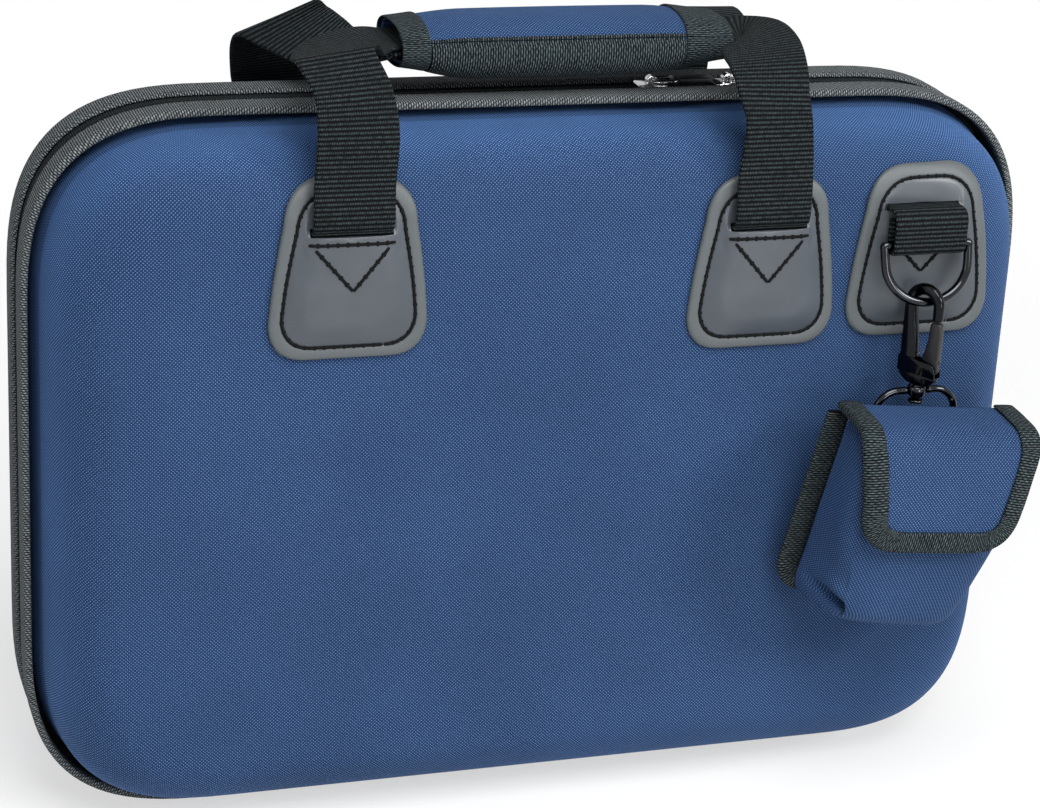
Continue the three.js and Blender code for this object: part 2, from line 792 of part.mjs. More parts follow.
// A D-ring's middle line: a straight bar above a half round, leaning out towards its foot.
function ringLine(cx, barY, barZ, side, foot) {
  const half = (ringInside + ringWire) / 2;
  const drop = ringDrop - ringWire;
  const lean = (share) => barY + side * foot * share;
  const line = [];
  const cornerShares = [[0.96, 0], [1, 0.1]];
  for (const [across, down] of cornerShares)
    line.push(point(cx + half * across, lean(down), barZ - drop * down));
  for (let i = 1; i < wireSteps; i++) {
    const angle = (i / wireSteps) * Math.PI;
    const round = Math.sin(angle) ** ringRoundShare;
    const down = ringFlatShare + (1 - ringFlatShare) * round;
    line.push(point(cx + half * Math.cos(angle), lean(down), barZ - drop * down));
  }
  for (const [across, down] of [...cornerShares].reverse())
    line.push(point(cx - half * across, lean(down), barZ - drop * down));
  return line;
}

function ringSet(owner, side, cx, lift, foot) {
  const barZ = slotZ + lift - ringBarDrop;
  const barY = side * (patchRaisedY + ringStand);
  const line = ringLine(cx, barY, barZ, side, foot);
  const drop = ringDrop - ringWire;
  const normal = point(0, drop, side * foot).normalize();
  addMesh(`${owner}_ring`, closedWire(line, normal, ringWire / 2), "gunmetal");
  const half = webbingWidth / 2;
  const inner = ringWire / 2 + clearance;
  const outer = inner + webbingThickness;
  const rings = [cx - half, cx + half].map((x) => {
    const ring = [];
    const steps = wireSides;
    for (const [radius, back] of [[outer, false], [inner, true]])
      for (let i = 0; i <= steps; i++) {
        const share = back ? 1 - i / steps : i / steps;
        const angle = share * Math.PI;
        const y = barY + side * radius * Math.cos(angle);
        ring.push(point(x, y, barZ - radius * Math.sin(angle)));
      }
    return ring;
  });
  const turn = toSolid(thickPanel(rings, wireSides));
  const top = slotZ + lift + patchSlotHeight - clearance;
  const sheet = (near, far) =>
    toSolid(box(cx - half, cx + half, side * near, side * far, barZ - clearance / 2, top));
  const barDepth = Math.abs(barY);
  let loop = turn.add(sheet(barDepth + inner, barDepth + outer));
  loop = loop.add(sheet(barDepth - outer, barDepth - inner));
  const lowTop = top - webbingThickness;
  loop = loop.add(
    toSolid(
      box(
        cx - half, cx + half,
        side * (patchFaceY + clearance), side * (barDepth + outer),
        lowTop, top,
      ),
    ),
  );
  addMesh(`${owner}_ring_loop`, fromSolid(loop), "webbing");
}

// The snap hook hangs on the ring's foot. Its own frame: u across the hook, z up, n through it.
function hookPlaces() {
  const barZ = slotZ + ringPatchLift - ringBarDrop;
  const wireZ = barZ - (ringDrop - ringWire);
  const wireY = -(patchRaisedY + ringStand + ringLean);
  const yaw = (hookYaw * Math.PI) / 180;
  const across = point(Math.cos(yaw), -Math.sin(yaw), 0);
  const through = point(Math.sin(yaw), Math.cos(yaw), 0);
  const centre = point(ringPatchX - ringShift - hookShift, wireY, wireZ);
  return { across, through, centre, wireZ, wireY };
}

// Turns a flat outline in the hook's plane into a solid of the given thickness.
function hookPlate(shape, thickness, { across, through, centre }) {
  const geometry = new THREE.ExtrudeGeometry(shape, {
    depth: thickness,
    bevelEnabled: false,
    curveSegments: 6,
  });
  geometry.translate(0, 0, -thickness / 2);
  const basis = new THREE.Matrix4().makeBasis(
    across,
    point(0, 0, 1),
    new THREE.Vector3().crossVectors(across, point(0, 0, 1)),
  );
  geometry.applyMatrix4(basis);
  return geometry.translate(centre.x, centre.y, centre.z);
}

function snapHook() {
  const places = hookPlaces();
  const half = hookWidth / 2;
  const inside = half - hookBar;
  const top = hookTop;
  const low = hookTop - hookLength;
  const block = low + hookBlockHeight;
  const gateTop = block + hookGateLength;
  const bend = top - half;
  const body = new THREE.Shape();
  body.moveTo(-half * hookFootShare, low);
  body.lineTo(half * hookFootShare, low);
  body.lineTo(half, low + hookBlockHeight / 2);
  body.lineTo(inside, block - clearance);
  body.lineTo(-inside, block - clearance);
  body.lineTo(-inside, bend);
  body.absarc(0, bend, inside, Math.PI, 0, true);
  body.lineTo(inside, gateTop + clearance);
  body.lineTo(half, gateTop + clearance);
  body.lineTo(half, bend);
  body.absarc(0, bend, half, 0, Math.PI, false);
  body.lineTo(-half, low + hookBlockHeight / 2);
  let solid = toSolid(hookPlate(body, hookThickness, places));
  const pinU = half - hookBar / 2;
  const pinV = block - hookBar / 2 + clearance;
  const pinAt = (radius, thickness) => {
    const shape = new THREE.Shape();
    shape.absarc(pinU, pinV, radius, 0, 2 * Math.PI);
    return toSolid(hookPlate(shape, thickness, places));
  };
  const gateShape = (grow, turn) => {
    const radius = hookBar / 2 + grow;
    const outline = [];
    for (let i = 0; i <= wireSides; i++) {
      const angle = Math.PI + (i / wireSides) * Math.PI;
      outline.push([radius * Math.cos(angle), radius * Math.sin(angle)]);
    }
    outline.push([radius, gateTop - pinV], [-radius, gateTop - pinV]);
    const [c, s] = [Math.cos(turn), Math.sin(turn)];
    const turned = outline.map(([u, v]) => [pinU + c * u - s * v, pinV + s * u + c * v]);
    return new THREE.Shape(turned.map(([u, v]) => new THREE.Vector2(u, v)));
  };
  const gateThickness = hookThickness / 2;
  const gate = toSolid(hookPlate(gateShape(0, 0), gateThickness, places));
  const swing = (gateSwing * Math.PI) / 180;
  for (const share of gateRoomShares) {
    const roomThickness = gateThickness + 2 * clearance;
    const room = hookPlate(gateShape(clearance, swing * share), roomThickness, places);
    solid = solid.subtract(toSolid(room));
  }
  solid = solid.subtract(pinAt(gatePinRadius, hookThickness + cutOverrun));
  addMesh("hook_body", fromSolid(solid), "gunmetal");
  const bored = gate.subtract(pinAt(gatePinRadius + clearance, hookThickness + cutOverrun));
  addMesh("hook_gate", fromSolid(bored), "plastic");
  const pin = pinAt(gatePinRadius - clearance / 4, hookThickness);
  addMesh("gate_pin", fromSolid(pin), "gunmetal");
  const spring = new THREE.Shape();
  const heel = -inside + clearance;
  const push = inside - 2 * clearance;
  spring.moveTo(heel, block);
  spring.lineTo(heel + gateSpringThickness, block);
  spring.lineTo(push, block + hookGateLength / 3);
  spring.lineTo(push - gateSpringThickness, block + hookGateLength / 3);
  const leaf = hookPlate(spring, gateThickness / 2, places);
  addMesh("gate_spring", leaf, "nickel");
  const stemTop = places.wireZ + low - clearance;
  const { x, y } = places.centre;
  const turned = (radius, height, z) =>
    toSolid(
      new THREE.CylinderGeometry(radius, radius, height, wireSides * 2)
        .rotateX(Math.PI / 2)
        .translate(x, y, z),
    );
  const headZ = stemTop - rivetLength - rivetHeadHeight / 2 + clearance / 2;
  const stem = turned(rivetRadius, rivetLength, stemTop - rivetLength / 2);
  const head = turned(rivetHeadRadius, rivetHeadHeight, headZ);
  addMesh("swivel_rivet", fromSolid(stem.add(head)), "gunmetal");
  swivelLoop(places, stemTop);
}

// The loop under the hook, which turns on the rivet and takes the pouch's tab.
function swivelLoop(places, stemTop) {
  const hubZ = stemTop - clearance - swivelHubHeight / 2;
  const { x, y } = places.centre;
  const half = (swivelInside + swivelWire) / 2;
  const low = hubZ - swivelDrop;
  const line = [];
  const [head, foot] = [swivelCorner, swivelFootCorner];
  const arcs = [
    [half - head, hubZ - head, 90, head],
    [half - foot, low + foot, 0, foot],
    [-half + foot, low + foot, -90, foot],
    [-half + head, hubZ - head, -180, head],
  ];
  for (const [cx, cz, start, corner] of arcs)
    for (const step of [0, 30, 60, 90]) {
      const angle = ((start - step) * Math.PI) / 180;
      line.push(point(x + cx + corner * Math.cos(angle), y, cz + corner * Math.sin(angle)));
    }
  const wire = toSolid(closedWire(line, point(0, 1, 0), swivelWire / 2));
  const upright = (radius, height) =>
    toSolid(
      new THREE.CylinderGeometry(radius, radius, height, wireSides * 2)
        .rotateX(Math.PI / 2)
        .translate(x, y, hubZ),
    );
  const hub = upright(swivelHubRadius, swivelHubHeight);
  const bore = upright(rivetRadius + clearance, swivelHubHeight + cutOverrun);
  addMesh("swivel_loop", fromSolid(wire.add(hub).subtract(bore)), "gunmetal");
  pouchBody(places, low);
  pouchFlap(places, low);
}

// The pouch's shape down its height: back half width, front half width and depth, as shares.
const pouchShares = [
  [0, 0.96, 0.9, 0.66],
  [0.08, 0.98, 0.95, 0.82],
  [0.25, 1, 0.98, 0.93],
  [0.5, 1.02, 0.93, 1],
  [0.75, 1.03, 0.8, 0.98],
  [0.93, 1.05, 0.66, 0.88],
  [1, 1, 0.6, 0.7],
];

const tabRadius = swivelWire / 2 + clearance + webbingThickness;
const pouchBack = tabRadius + clearance;

// From the pouch's own frame (across, out from the case, up from the loop's bar) to the case's.
function hang(geometry, { centre }, barZ, rolled = true) {
  if (rolled) geometry.rotateY((pouchRoll * Math.PI) / 180);
  geometry.rotateX((pouchLean * Math.PI) / 180);
  return geometry.translate(centre.x, centre.y, barZ);
}

function pouchRing([share, back, front, deep], inset) {
  const ring = [];
  const soft = (v) => Math.sign(v) * Math.abs(v) ** (2 / pouchSidePower);
  for (let i = 0; i < pouchSides; i++) {
    const angle = (i / pouchSides) * 2 * Math.PI;
    const [su, sd] = [soft(Math.cos(angle)), soft(Math.sin(angle))];
    const out = (1 + sd) / 2;
    const half = pouchHalfWidth * (back + (front - back) * out) - inset;
    const depth = pouchBack + inset + (pouchDepth * deep - 2 * inset) * out;
    ring.push(point(half * su, -depth, pouchTop - pouchHeight * share));
  }
  return ring;
}

function pouchBody(places, barZ) {
  const outer = pouchShares.map((row) => pouchRing(row, 0)).reverse();
  const lift = (ring, rise) => ring.map((p) => point(p.x, p.y, p.z + rise));
  const inner = pouchShares.map((row) => pouchRing(row, pouchWall));
  inner[inner.length - 1] = lift(inner[inner.length - 1], pouchWall);
  addMesh("pouch_body", hang(skin([...outer, ...inner]), places, barZ), "cloth");
  const low = pouchTop - pouchHeight;
  const half = pouchHalfWidth + pouchEdgeProud;
  const tall = pouchHeight + pouchEdgeProud;
  const middle = (pouchTop + low - pouchEdgeProud) / 2;
  const outline = (shrink) => {
    const corner = pouchBinding + clearance - shrink / 2;
    return roundedOutline(0, middle + shrink, 2 * (half - shrink), tall, corner);
  };
  const edgeBack = pouchBack - clearance;
  const edge = toSolid(plate(outline(0), -edgeBack, pouchEdgeThickness - edgeBack));
  const hole = toSolid(plate(outline(pouchBinding), -pouchBack - cutOverrun, cutOverrun));
  addMesh("pouch_edge", hang(fromSolid(edge.subtract(hole)), places, barZ), "webbing");
  const tab = webbingTurn(pouchTabWidth / 2, swivelWire / 2, pouchTabLength);
  addMesh("pouch_tab", hang(fromSolid(tab), places, barZ, false), "webbing");
}

// Webbing folded over a bar at the origin: a half turn above it, two leaves below, sewn at the foot.
function webbingTurn(half, wire, length) {
  const inner = wire + clearance;
  const outer = inner + webbingThickness;
  const rings = [-half, half].map((x) => {
    const arc = (radius, back) =>
      Array.from({ length: wireSides + 1 }, (_, i) => {
        const share = back ? 1 - i / wireSides : i / wireSides;
        const angle = share * Math.PI;
        return point(x, radius * Math.cos(angle), radius * Math.sin(angle));
      });
    return [...arc(outer, false), ...arc(inner, true)];
  });
  const leaf = (y0, y1, low) => toSolid(box(-half, half, y0, y1, low, clearance / 2));
  return toSolid(thickPanel(rings, wireSides))
    .add(leaf(inner, outer, -length))
    .add(leaf(-outer, -inner, -length))
    .add(toSolid(box(-half, half, -outer, outer, -length, -length + webbingThickness)));
}

// The flap's bent line at a given distance off the pouch, as pairs of depth and height.
function flapLine(off) {
  const topDepth = pouchDepth * pouchShares[0][3];
  const line = [
    [pouchBack, pouchTop + clearance + off],
    [pouchBack + topDepth, pouchTop + 2 * clearance + off],
  ];
  for (const [share, , , deep] of pouchShares.slice(1, 5)) {
    const fall = Math.min(share * pouchHeight, pouchFlapDrop);
    const turned = share < pouchFoldShare ? Math.SQRT1_2 : 0;
    const out = off * (1 - turned / 2) + pouchFlapGap * (1 - turned / 2);
    line.push([pouchBack + pouchDepth * deep + out, pouchTop - fall + off * turned]);
  }
  return line;
}

function flapLayer(near, far, half) {
  const outline = [...flapLine(near), ...flapLine(far).reverse()];
  const rings = [-half, half].map((x) => outline.map(([d, h]) => point(x, -d, h)));
  return toSolid(thickPanel(rings, outline.length / 2 - 1));
}

function flapFront(shrink, rise) {
  const top = pouchTop + pouchFlapDrop;
  const foot = pouchTop - pouchFlapDrop + rise;
  const [halfTop, halfFoot] = [pouchFlapHalfTop - shrink, pouchFlapHalfFoot - shrink];
  const corner = pouchFlapCorner - shrink / 2;
  const shape = new THREE.Shape();
  shape.moveTo(-halfTop, top);
  shape.lineTo(-halfTop, pouchTop);
  shape.lineTo(-halfFoot, foot + corner);
  shape.quadraticCurveTo(-halfFoot, foot, -halfFoot + corner, foot);
  shape.lineTo(halfFoot - corner, foot);
  shape.quadraticCurveTo(halfFoot, foot, halfFoot, foot + corner);
  shape.lineTo(halfTop, pouchTop);
  shape.lineTo(halfTop, top);
  return toSolid(plate(shape, -pouchBack - 2 * pouchDepth, cutOverrun));
}

function pouchFlap(places, barZ) {
  const wide = pouchFlapHalfTop + cutOverrun;
  const whole = flapFront(0, 0);
  const cloth = flapLayer(0, pouchFlapThickness, wide).intersect(whole);
  addMesh("pouch_flap", hang(fromSolid(cloth), places, barZ), "cloth");
  const near = pouchFlapThickness + clearance;
  const layer = flapLayer(near, near + pouchBindingThickness, wide).intersect(whole);
  const bound = layer.subtract(flapFront(pouchBinding, pouchBinding));
  addMesh("pouch_flap_binding", hang(fromSolid(bound), places, barZ), "webbing");
  const [, , , deep] = pouchShares[3];
  const face = pouchBack + pouchDepth * deep + clearance;
  const top = pouchTop - pouchFlapDrop + pouchFastenerRise + pouchFastenerHeight;
  const half = pouchFastenerWidth / 2;
  const strip = (start) =>
    box(
      -half, half,
      -start - pouchFastenerThickness, -start,
      top - pouchFastenerHeight, top,
    );
  addMesh("pouch_fastener", hang(strip(face), places, barZ), "plastic");
  const over = face + pouchFastenerThickness + clearance;
  addMesh("pouch_flap_fastener", hang(strip(over), places, barZ), "plush");
}

// A zip slider on the top run: two plates joined by a post between the coils, and a bridge
// that holds the wire loop of its pull.
function zipSlider(owner, x) {
  const rimTop = centreZ + caseHeight / 2;
  const plateLow = rimTop + tapeTop + clearance;
  const plateTop = plateLow + sliderPlate;
  const underTop = rimTop - coilThickness - clearance;
  const underLow = underTop - sliderPlate;
  const half = sliderLength / 2;
  const wide = sliderWidth / 2;
  const upper = toSolid(box(x - half, x + half, -wide, wide, plateLow, plateTop));
  const under = rimSetback - clearance;
  const lower = toSolid(box(x - half, x + half, -under, under, underLow, underTop));
  const post = toSolid(
    box(
      x - sliderPostLength / 2, x + sliderPostLength / 2,
      -sliderPost / 2, sliderPost / 2,
      underLow + clearance, plateTop - clearance,
    ),
  );
  const room = pullWire + 2 * clearance;
  const reach = room / 2 + bridgeThickness;
  const arch = toSolid(
    box(
      x - reach, x + reach,
      -bridgeWidth / 2, bridgeWidth / 2,
      plateTop - clearance, plateTop + room + bridgeThickness,
    ),
  );
  const hole = toSolid(
    box(x - room / 2, x + room / 2, -bridgeWidth, bridgeWidth, plateTop, plateTop + room),
  );
  const solid = upper.add(lower).add(post).add(arch.subtract(hole));
  addMesh(`${owner}_slider`, fromSolid(solid), "nickel");
  const wireZ = plateTop + room / 2;
  const line = [];
  const side = pullLoopWidth / 2;
  const round = pullWire;
  const corners = [
    [x + round, -side + round, 180, 270],
    [x + pullLoopLength - round, -side + round, 270, 360],
    [x + pullLoopLength - round, side - round, 0, 90],
    [x + round, side - round, 90, 180],
  ];
  for (const [cx, cy, from, to] of corners)
    for (const share of gateRoomShares) {
      const angle = ((from + share * (to - from)) * Math.PI) / 180;
      line.push(point(cx + round * Math.cos(angle), cy + round * Math.sin(angle), wireZ));
    }
  addMesh(`${owner}_pull_loop`, closedWire(line, point(0, 0, 1), pullWire / 2), "nickel");
  const end = x + pullLoopLength;
  const neckHalf = tabNeckThickness / 2;
  const neck = toSolid(
    box(
      end - neckHalf, end + neckHalf,
      -tabNeck / 2, tabNeck / 2,
      wireZ - neckHalf, wireZ + neckHalf,
    ),
  );
  const grip = toSolid(
    box(
      end + neckHalf - clearance, end + tabLength,
      -tabWidth / 2, tabWidth / 2,
      wireZ - tabThickness / 2, wireZ + tabThickness / 2,
    ),
  );
  const bore = toSolid(
    new THREE.CylinderGeometry(
      pullWire / 2 + clearance,
      pullWire / 2 + clearance,
      2 * tabWidth,
      wireSides * 2,
    ).translate(end, 0, wireZ),
  );
  addMesh(`${owner}_pull_tab`, fromSolid(neck.add(grip).subtract(bore)), "plastic");
}

shell("base_shell", 1);
shell("lid_shell", -1);
lidLining();
baseInsert();
binding("base_binding", 1);
binding("lid_binding", -1);
zipHalf("base", 1);
zipHalf("lid", -1);
hingeStrip();
zipSlider("left", sliderLeftX);
zipSlider("right", sliderRightX);
const sides = [
  ["front", -1, ringPatchX, ringShift, ringLean],
  ["rear", 1, rearRingPatchX, 0, rearRingLean],
];
for (const [owner, side, ringX, shift, foot] of sides) {
  patch(`${owner}_patch_left`, side, patchLeftX, patchLeftLift);
  patch(`${owner}_patch_right`, side, patchRightX, patchRightLift);
  patch(`${owner}_ring_patch`, side, ringX, ringPatchLift, shift);
  ringSet(owner, side, ringX - shift, ringPatchLift, foot);
}
strap("front_strap", -1, frontLeftShares, frontRightShares, webbingStack / 2);
strap("rear_strap", 1, rearLeftShares, rearRightShares, -webbingStack / 2);
handleWrap();
snapHook();

export default root;
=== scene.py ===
"""Looks for a soft clarinet case: woven cloth shells, bound edges and zip, webbing handles
in stitched patches, a padded wrap, D-rings, a snap hook and a small flapped pouch.
Every size is in millimetres until a mesh is written, which is in metres."""

import json

import bpy
import numpy as np
from mathutils import Matrix, Vector

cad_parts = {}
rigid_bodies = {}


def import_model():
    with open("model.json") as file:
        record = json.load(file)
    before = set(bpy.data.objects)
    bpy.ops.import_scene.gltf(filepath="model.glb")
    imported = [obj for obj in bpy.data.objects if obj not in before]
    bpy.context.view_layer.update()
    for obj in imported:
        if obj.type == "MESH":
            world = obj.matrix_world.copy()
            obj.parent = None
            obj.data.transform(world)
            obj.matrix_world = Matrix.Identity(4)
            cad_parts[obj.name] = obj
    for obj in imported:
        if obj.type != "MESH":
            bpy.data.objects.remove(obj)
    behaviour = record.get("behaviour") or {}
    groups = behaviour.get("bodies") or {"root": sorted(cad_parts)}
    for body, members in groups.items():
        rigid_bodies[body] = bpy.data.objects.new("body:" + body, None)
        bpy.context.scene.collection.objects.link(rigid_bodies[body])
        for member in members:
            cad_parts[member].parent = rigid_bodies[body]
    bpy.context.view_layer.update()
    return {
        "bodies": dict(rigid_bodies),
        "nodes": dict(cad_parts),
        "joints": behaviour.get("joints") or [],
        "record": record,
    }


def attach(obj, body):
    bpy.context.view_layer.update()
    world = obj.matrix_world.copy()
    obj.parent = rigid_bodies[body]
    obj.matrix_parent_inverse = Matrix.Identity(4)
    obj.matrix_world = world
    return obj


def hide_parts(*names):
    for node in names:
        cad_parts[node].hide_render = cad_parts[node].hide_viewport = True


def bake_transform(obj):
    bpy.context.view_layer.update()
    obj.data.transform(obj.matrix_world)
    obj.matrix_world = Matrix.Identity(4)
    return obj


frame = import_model()

bl_info = {
    "name": "Soft clarinet case",
    "version": (1, 0, 0),
    "blender": (4, 5, 0),
    "location": "3D View > Sidebar > Case",
    "description": "Makes the cloth, webbing, leather and metal of a soft clarinet case",
    "category": "Add Mesh",
}

MM = 0.001
TURN = 2 * np.pi

# Sizes, nearly all of them the solids' own
WIDTH, HEIGHT, HALF_DEPTH = 326.0, 229.0, 43.3
CORNER, POWER = 62.0, 2 / 2.9
EDGE_DEPTH, EDGE_INSET, DRAFT, CROWN = 25.0, 22.0, 3.2, 0.8
WALL, GAP, LINING, TRAY_EDGE = 2.6, 0.3, 3.0, 0.8
SIDES = (1, "base"), (-1, "lid")
PROUD, RIM_BACK = 2.7, 3.2
HINGE_REACH, HINGE_THICK = 98.0, 2.4
MID_Z = HEIGHT / 2 + PROUD
TOP_Z = HEIGHT + 2 * PROUD
WEB, WEB_THICK = 25.0, 1.5
PATCH_LOW, PATCH_TALL, PATCH_WIDE, PATCH_TOP = 161.0, 56.5, 48.0, 40.0
PATCH_BACK = HALF_DEPTH + CROWN / 2 + GAP
PATCH_THICK, PATCH_RAISE = 1.4, 2.0
SLOT_Z = PATCH_LOW + 39.5
LEFT_X, RIGHT_X, RING_PATCH_X, REAR_RING_X = -71.0, 63.4, 117.7, -121.0
RING_X = RING_PATCH_X - 1.8
LEFT_LIFT, RIGHT_LIFT, RING_LIFT = 2.0, -2.0, -0.7
RAISED_Y = PATCH_BACK + PATCH_THICK + PATCH_RAISE
WRAP_LONG, WRAP_X, WRAP_DEEP, WRAP_TALL, WRAP_POWER = 108.0, 5.0, 33.0, 20.0, 2 / 2.4
WRAP_Z = TOP_Z + 15.0
RING_WIRE, RING_IN, RING_DROP, RING_STAND = 3.0, 26.0, 18.0, 3.8
FRONT_FOOT, REAR_FOOT = 4.6, -1.8
BAR_Y = RAISED_Y + RING_STAND
BAR_Z = SLOT_Z + RING_LIFT - 7.0
FOOT_Y = -(BAR_Y + FRONT_FOOT)
FOOT_Z = BAR_Z - RING_DROP
HOOK_X = RING_X - 0.4
HOOK_WIDE, HOOK_BAR, HOOK_THICK, HOOK_TOP, HOOK_LONG = 14.5, 4.05, 3.4, 6.4, 34.0
HOOK_YAW = np.radians(60)
LEVER_HALF, CHEEK_FROM = 1.22, 1.3
STEM_Z = FOOT_Z + HOOK_TOP - HOOK_LONG - GAP
HUB_Z = STEM_Z - GAP - 1.6
LOOP_Z = HUB_Z - 15.0
POUCH_LEAN, POUCH_ROLL = np.radians(8.0), np.radians(9.5)
POUCH_TOP, POUCH_TALL, POUCH_HALF, POUCH_DEEP = 10.0, 66.0, 30.0, 28.0
POUCH_BACK = 1.2 + GAP + WEB_THICK + GAP
FLAP_DROP, POUCH_SKEW = 35.0, 0.07
SLIDER_X = {"left": 38.0, "right": 64.0}

# Every material by its short name, filled by the first operator
FINISHES = {}


# Meshes from whole arrays

def tube_faces(rows, count, closed):
    """Quads between each ring and the next, and between the last and first if closed."""
    last = rows if closed else rows - 1
    i, j = np.meshgrid(np.arange(last), np.arange(count), indexing="ij")
    up, on = (i + 1) % rows, (j + 1) % count
    quads = np.stack([i * count + j, up * count + j, up * count + on, i * count + on], -1)
    picks = np.stack([i, i + 1, i + 1, i], -1), np.stack([j, j, j + 1, j + 1], -1)
    return quads.reshape(-1, 4), [p.reshape(-1, 4) for p in picks]


class Form:
    """A mesh gathered from rings of points, in millimetres, with a UV map in millimetres."""

    def __init__(self):
        self.points, self.faces, self.uvs, self.total = [], [], [], 0

    def tube(self, rings, uv=None, closed=False, caps="fan"):
        """A surface through rings shaped (rows, count, 3), each ring closed on itself. Its
        ends are closed to a middle point, or across the ring in pairs for a flat slab."""
        rings = np.asarray(rings, float)
        rows, count = rings.shape[:2]
        if uv is None:
            along = np.r_[0, np.cumsum(np.linalg.norm(np.diff(rings.mean(1), axis=0), axis=1))]
            loop = np.concatenate([rings, rings[:, :1]], 1)
            around = np.cumsum(np.linalg.norm(np.diff(loop, axis=1), axis=2), 1)
            around = np.concatenate([np.zeros((rows, 1)), around], 1)
            uv = np.stack([np.repeat(along[:, None], count + 1, 1), around], -1)
            if closed:
                end = uv[:1].copy()
                end[..., 0] = along[-1] + np.linalg.norm(rings[0].mean(0) - rings[-1].mean(0))
                uv = np.concatenate([uv, end])
        points = rings.reshape(-1, 3)
        quads, (pi, pj) = tube_faces(rows, count, closed)
        faces, face_uv = [quads], [uv[pi, pj]]
        if not closed and caps == "pairs":
            half = count // 2
            a = np.arange(half - 1)
            pair = np.stack([a, a + 1, count - 2 - a, count - 1 - a], -1)
            for row, turned in ((0, False), (rows - 1, True)):
                side = pair[:, ::-1] if turned else pair
                faces.append(side + row * count)
                face_uv.append(uv[row][side])
        elif not closed:
            tips = np.stack([rings[0].mean(0), rings[-1].mean(0)])
            points = np.concatenate([points, tips])
            a = np.arange(count)
            b = (a + 1) % count
            for row, tip, turned in ((0, rows * count, False), (rows - 1, rows * count + 1, True)):
                base = row * count
                fan = np.stack([np.full(count, tip), base + a, base + b], -1)
                mid = uv[row][:count].mean(0)
                corner = np.stack([np.repeat(mid[None], count, 0), uv[row][a], uv[row][a + 1]], 1)
                if turned:
                    fan, corner = fan[:, ::-1], corner[:, ::-1]
                faces.append(fan)
                face_uv.append(corner)
        self._add(points, faces, face_uv)
        return self

    def _add(self, points, faces, face_uv):
        """Adds blocks of faces, turned round if the volume they enclose comes out negative."""
        volume = 0.0
        for block in faces:
            a = points[block[:, 0]]
            for k in range(1, block.shape[1] - 1):
                volume += np.einsum("ij,ij->", a, np.cross(points[block[:, k]], points[block[:, k + 1]]))
        if volume < 0:
            faces = [block[:, ::-1] for block in faces]
            face_uv = [block[:, ::-1] for block in face_uv]
        for block, corner in zip(faces, face_uv):
            self.faces.append(block + self.total)
            self.uvs.append(corner)
        self.points.append(points)
        self.total += len(points)

    def copies(self, shape, faces, places, axes):
        """One small closed shape at many places: its points times each place's three axes."""
        points = np.einsum("pk,nkc->npc", shape, axes) + places[:, None]
        count = len(places)
        block = faces[None] + (np.arange(count) * len(shape))[:, None, None]
        uv = np.repeat(shape[faces][None, ..., :2], count, 0)
        self.faces.append(block.reshape(-1, faces.shape[1]) + self.total)
        self.uvs.append(uv.reshape(-1, faces.shape[1], 2))
        self.points.append(points.reshape(-1, 3))
        self.total += len(shape) * count
        return self

    def finish(self, name, kind, body, nodes=(), slot=None):
        """Writes the mesh in metres with one of the finishes, rides it on its body, if one is
        named, and takes the nodes' place."""
        mesh = bpy.data.meshes.new(name)
        faces = [face for block in self.faces for face in block.tolist()]
        mesh.from_pydata((np.concatenate(self.points) * MM).tolist(), [], faces)
        layer = mesh.uv_layers.new(name="UVMap")
        flat = np.concatenate([block.reshape(-1, 2) for block in self.uvs])
        layer.data.foreach_set("uv", flat.astype(np.float32).ravel())
        mesh.polygons.foreach_set("use_smooth", np.full(len(faces), True))
        mesh.materials.append(FINISHES[kind])
        mesh.update()
        piece = placed(name, mesh)
        if body:
            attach(piece, body)
        if nodes:
            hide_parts(*nodes)
        return piece


def soft(value, power):
    """A number's sign times its size to a power, which squares a circle's shape off."""
    return np.sign(value) * np.abs(value) ** power


def ease(low, high, value):
    """Goes smoothly from 0 at low to 1 at high."""
    t = np.clip((np.asarray(value, float) - low) / (high - low), 0, 1)
    return t * t * (3 - 2 * t)


def xyz(x, y, z):
    """Three arrays of coordinates joined into points."""
    return np.stack(np.broadcast_arrays(x, y, z), -1).astype(float)


def unit(v):
    """Each vector divided by its length."""
    return v / np.maximum(np.linalg.norm(v, axis=-1, keepdims=True), 1e-9)


def lengths(path):
    """Distance along a path at each of its points."""
    return np.r_[0, np.cumsum(np.linalg.norm(np.diff(path, axis=0), axis=1))]


def pair(a, b):
    """Two arrays of numbers joined into flat points."""
    return np.stack(np.broadcast_arrays(a, b), -1)


def looped(row):
    """A closed row of points with its first one again at the end."""
    return np.concatenate([row, row[:1]])


def circle(sides):
    """Angles at even steps once round."""
    return np.arange(sides) / sides * TURN


def arc(start, end, steps, radius, x=0.0, y=0.0):
    """Points round part of a circle, from one angle to another."""
    w = np.linspace(start, end, steps)
    return pair(x + radius * np.cos(w), y + radius * np.sin(w))


def rolled(share):
    """How full a rounded edge is at a share of its width: a quarter circle from 0 to 1."""
    return np.sqrt(1 - (1 - np.clip(share, 0, 1)) ** 2)


def at_runs(path, at):
    """The places at given distances along a path."""
    run = lengths(path)
    return np.stack([np.interp(at, run, path[:, k]) for k in range(path.shape[1])], -1)


def resample(path, spacing, closed=False):
    """Points at even distances along a path, with the path's direction at each."""
    line = looped(path) if closed else path
    whole = lengths(line)[-1]
    count = max(2, int(round(whole / spacing)))
    at = (np.arange(count) + 0.5) * whole / count
    near = 0.2
    return at_runs(line, at), unit(at_runs(line, at + near) - at_runs(line, at - near))


def smooth_spacing(path, step):
    """The same open path with its points at even distances, both ends kept."""
    whole = lengths(path)[-1]
    return at_runs(path, np.linspace(0, whole, max(3, int(whole / step))))


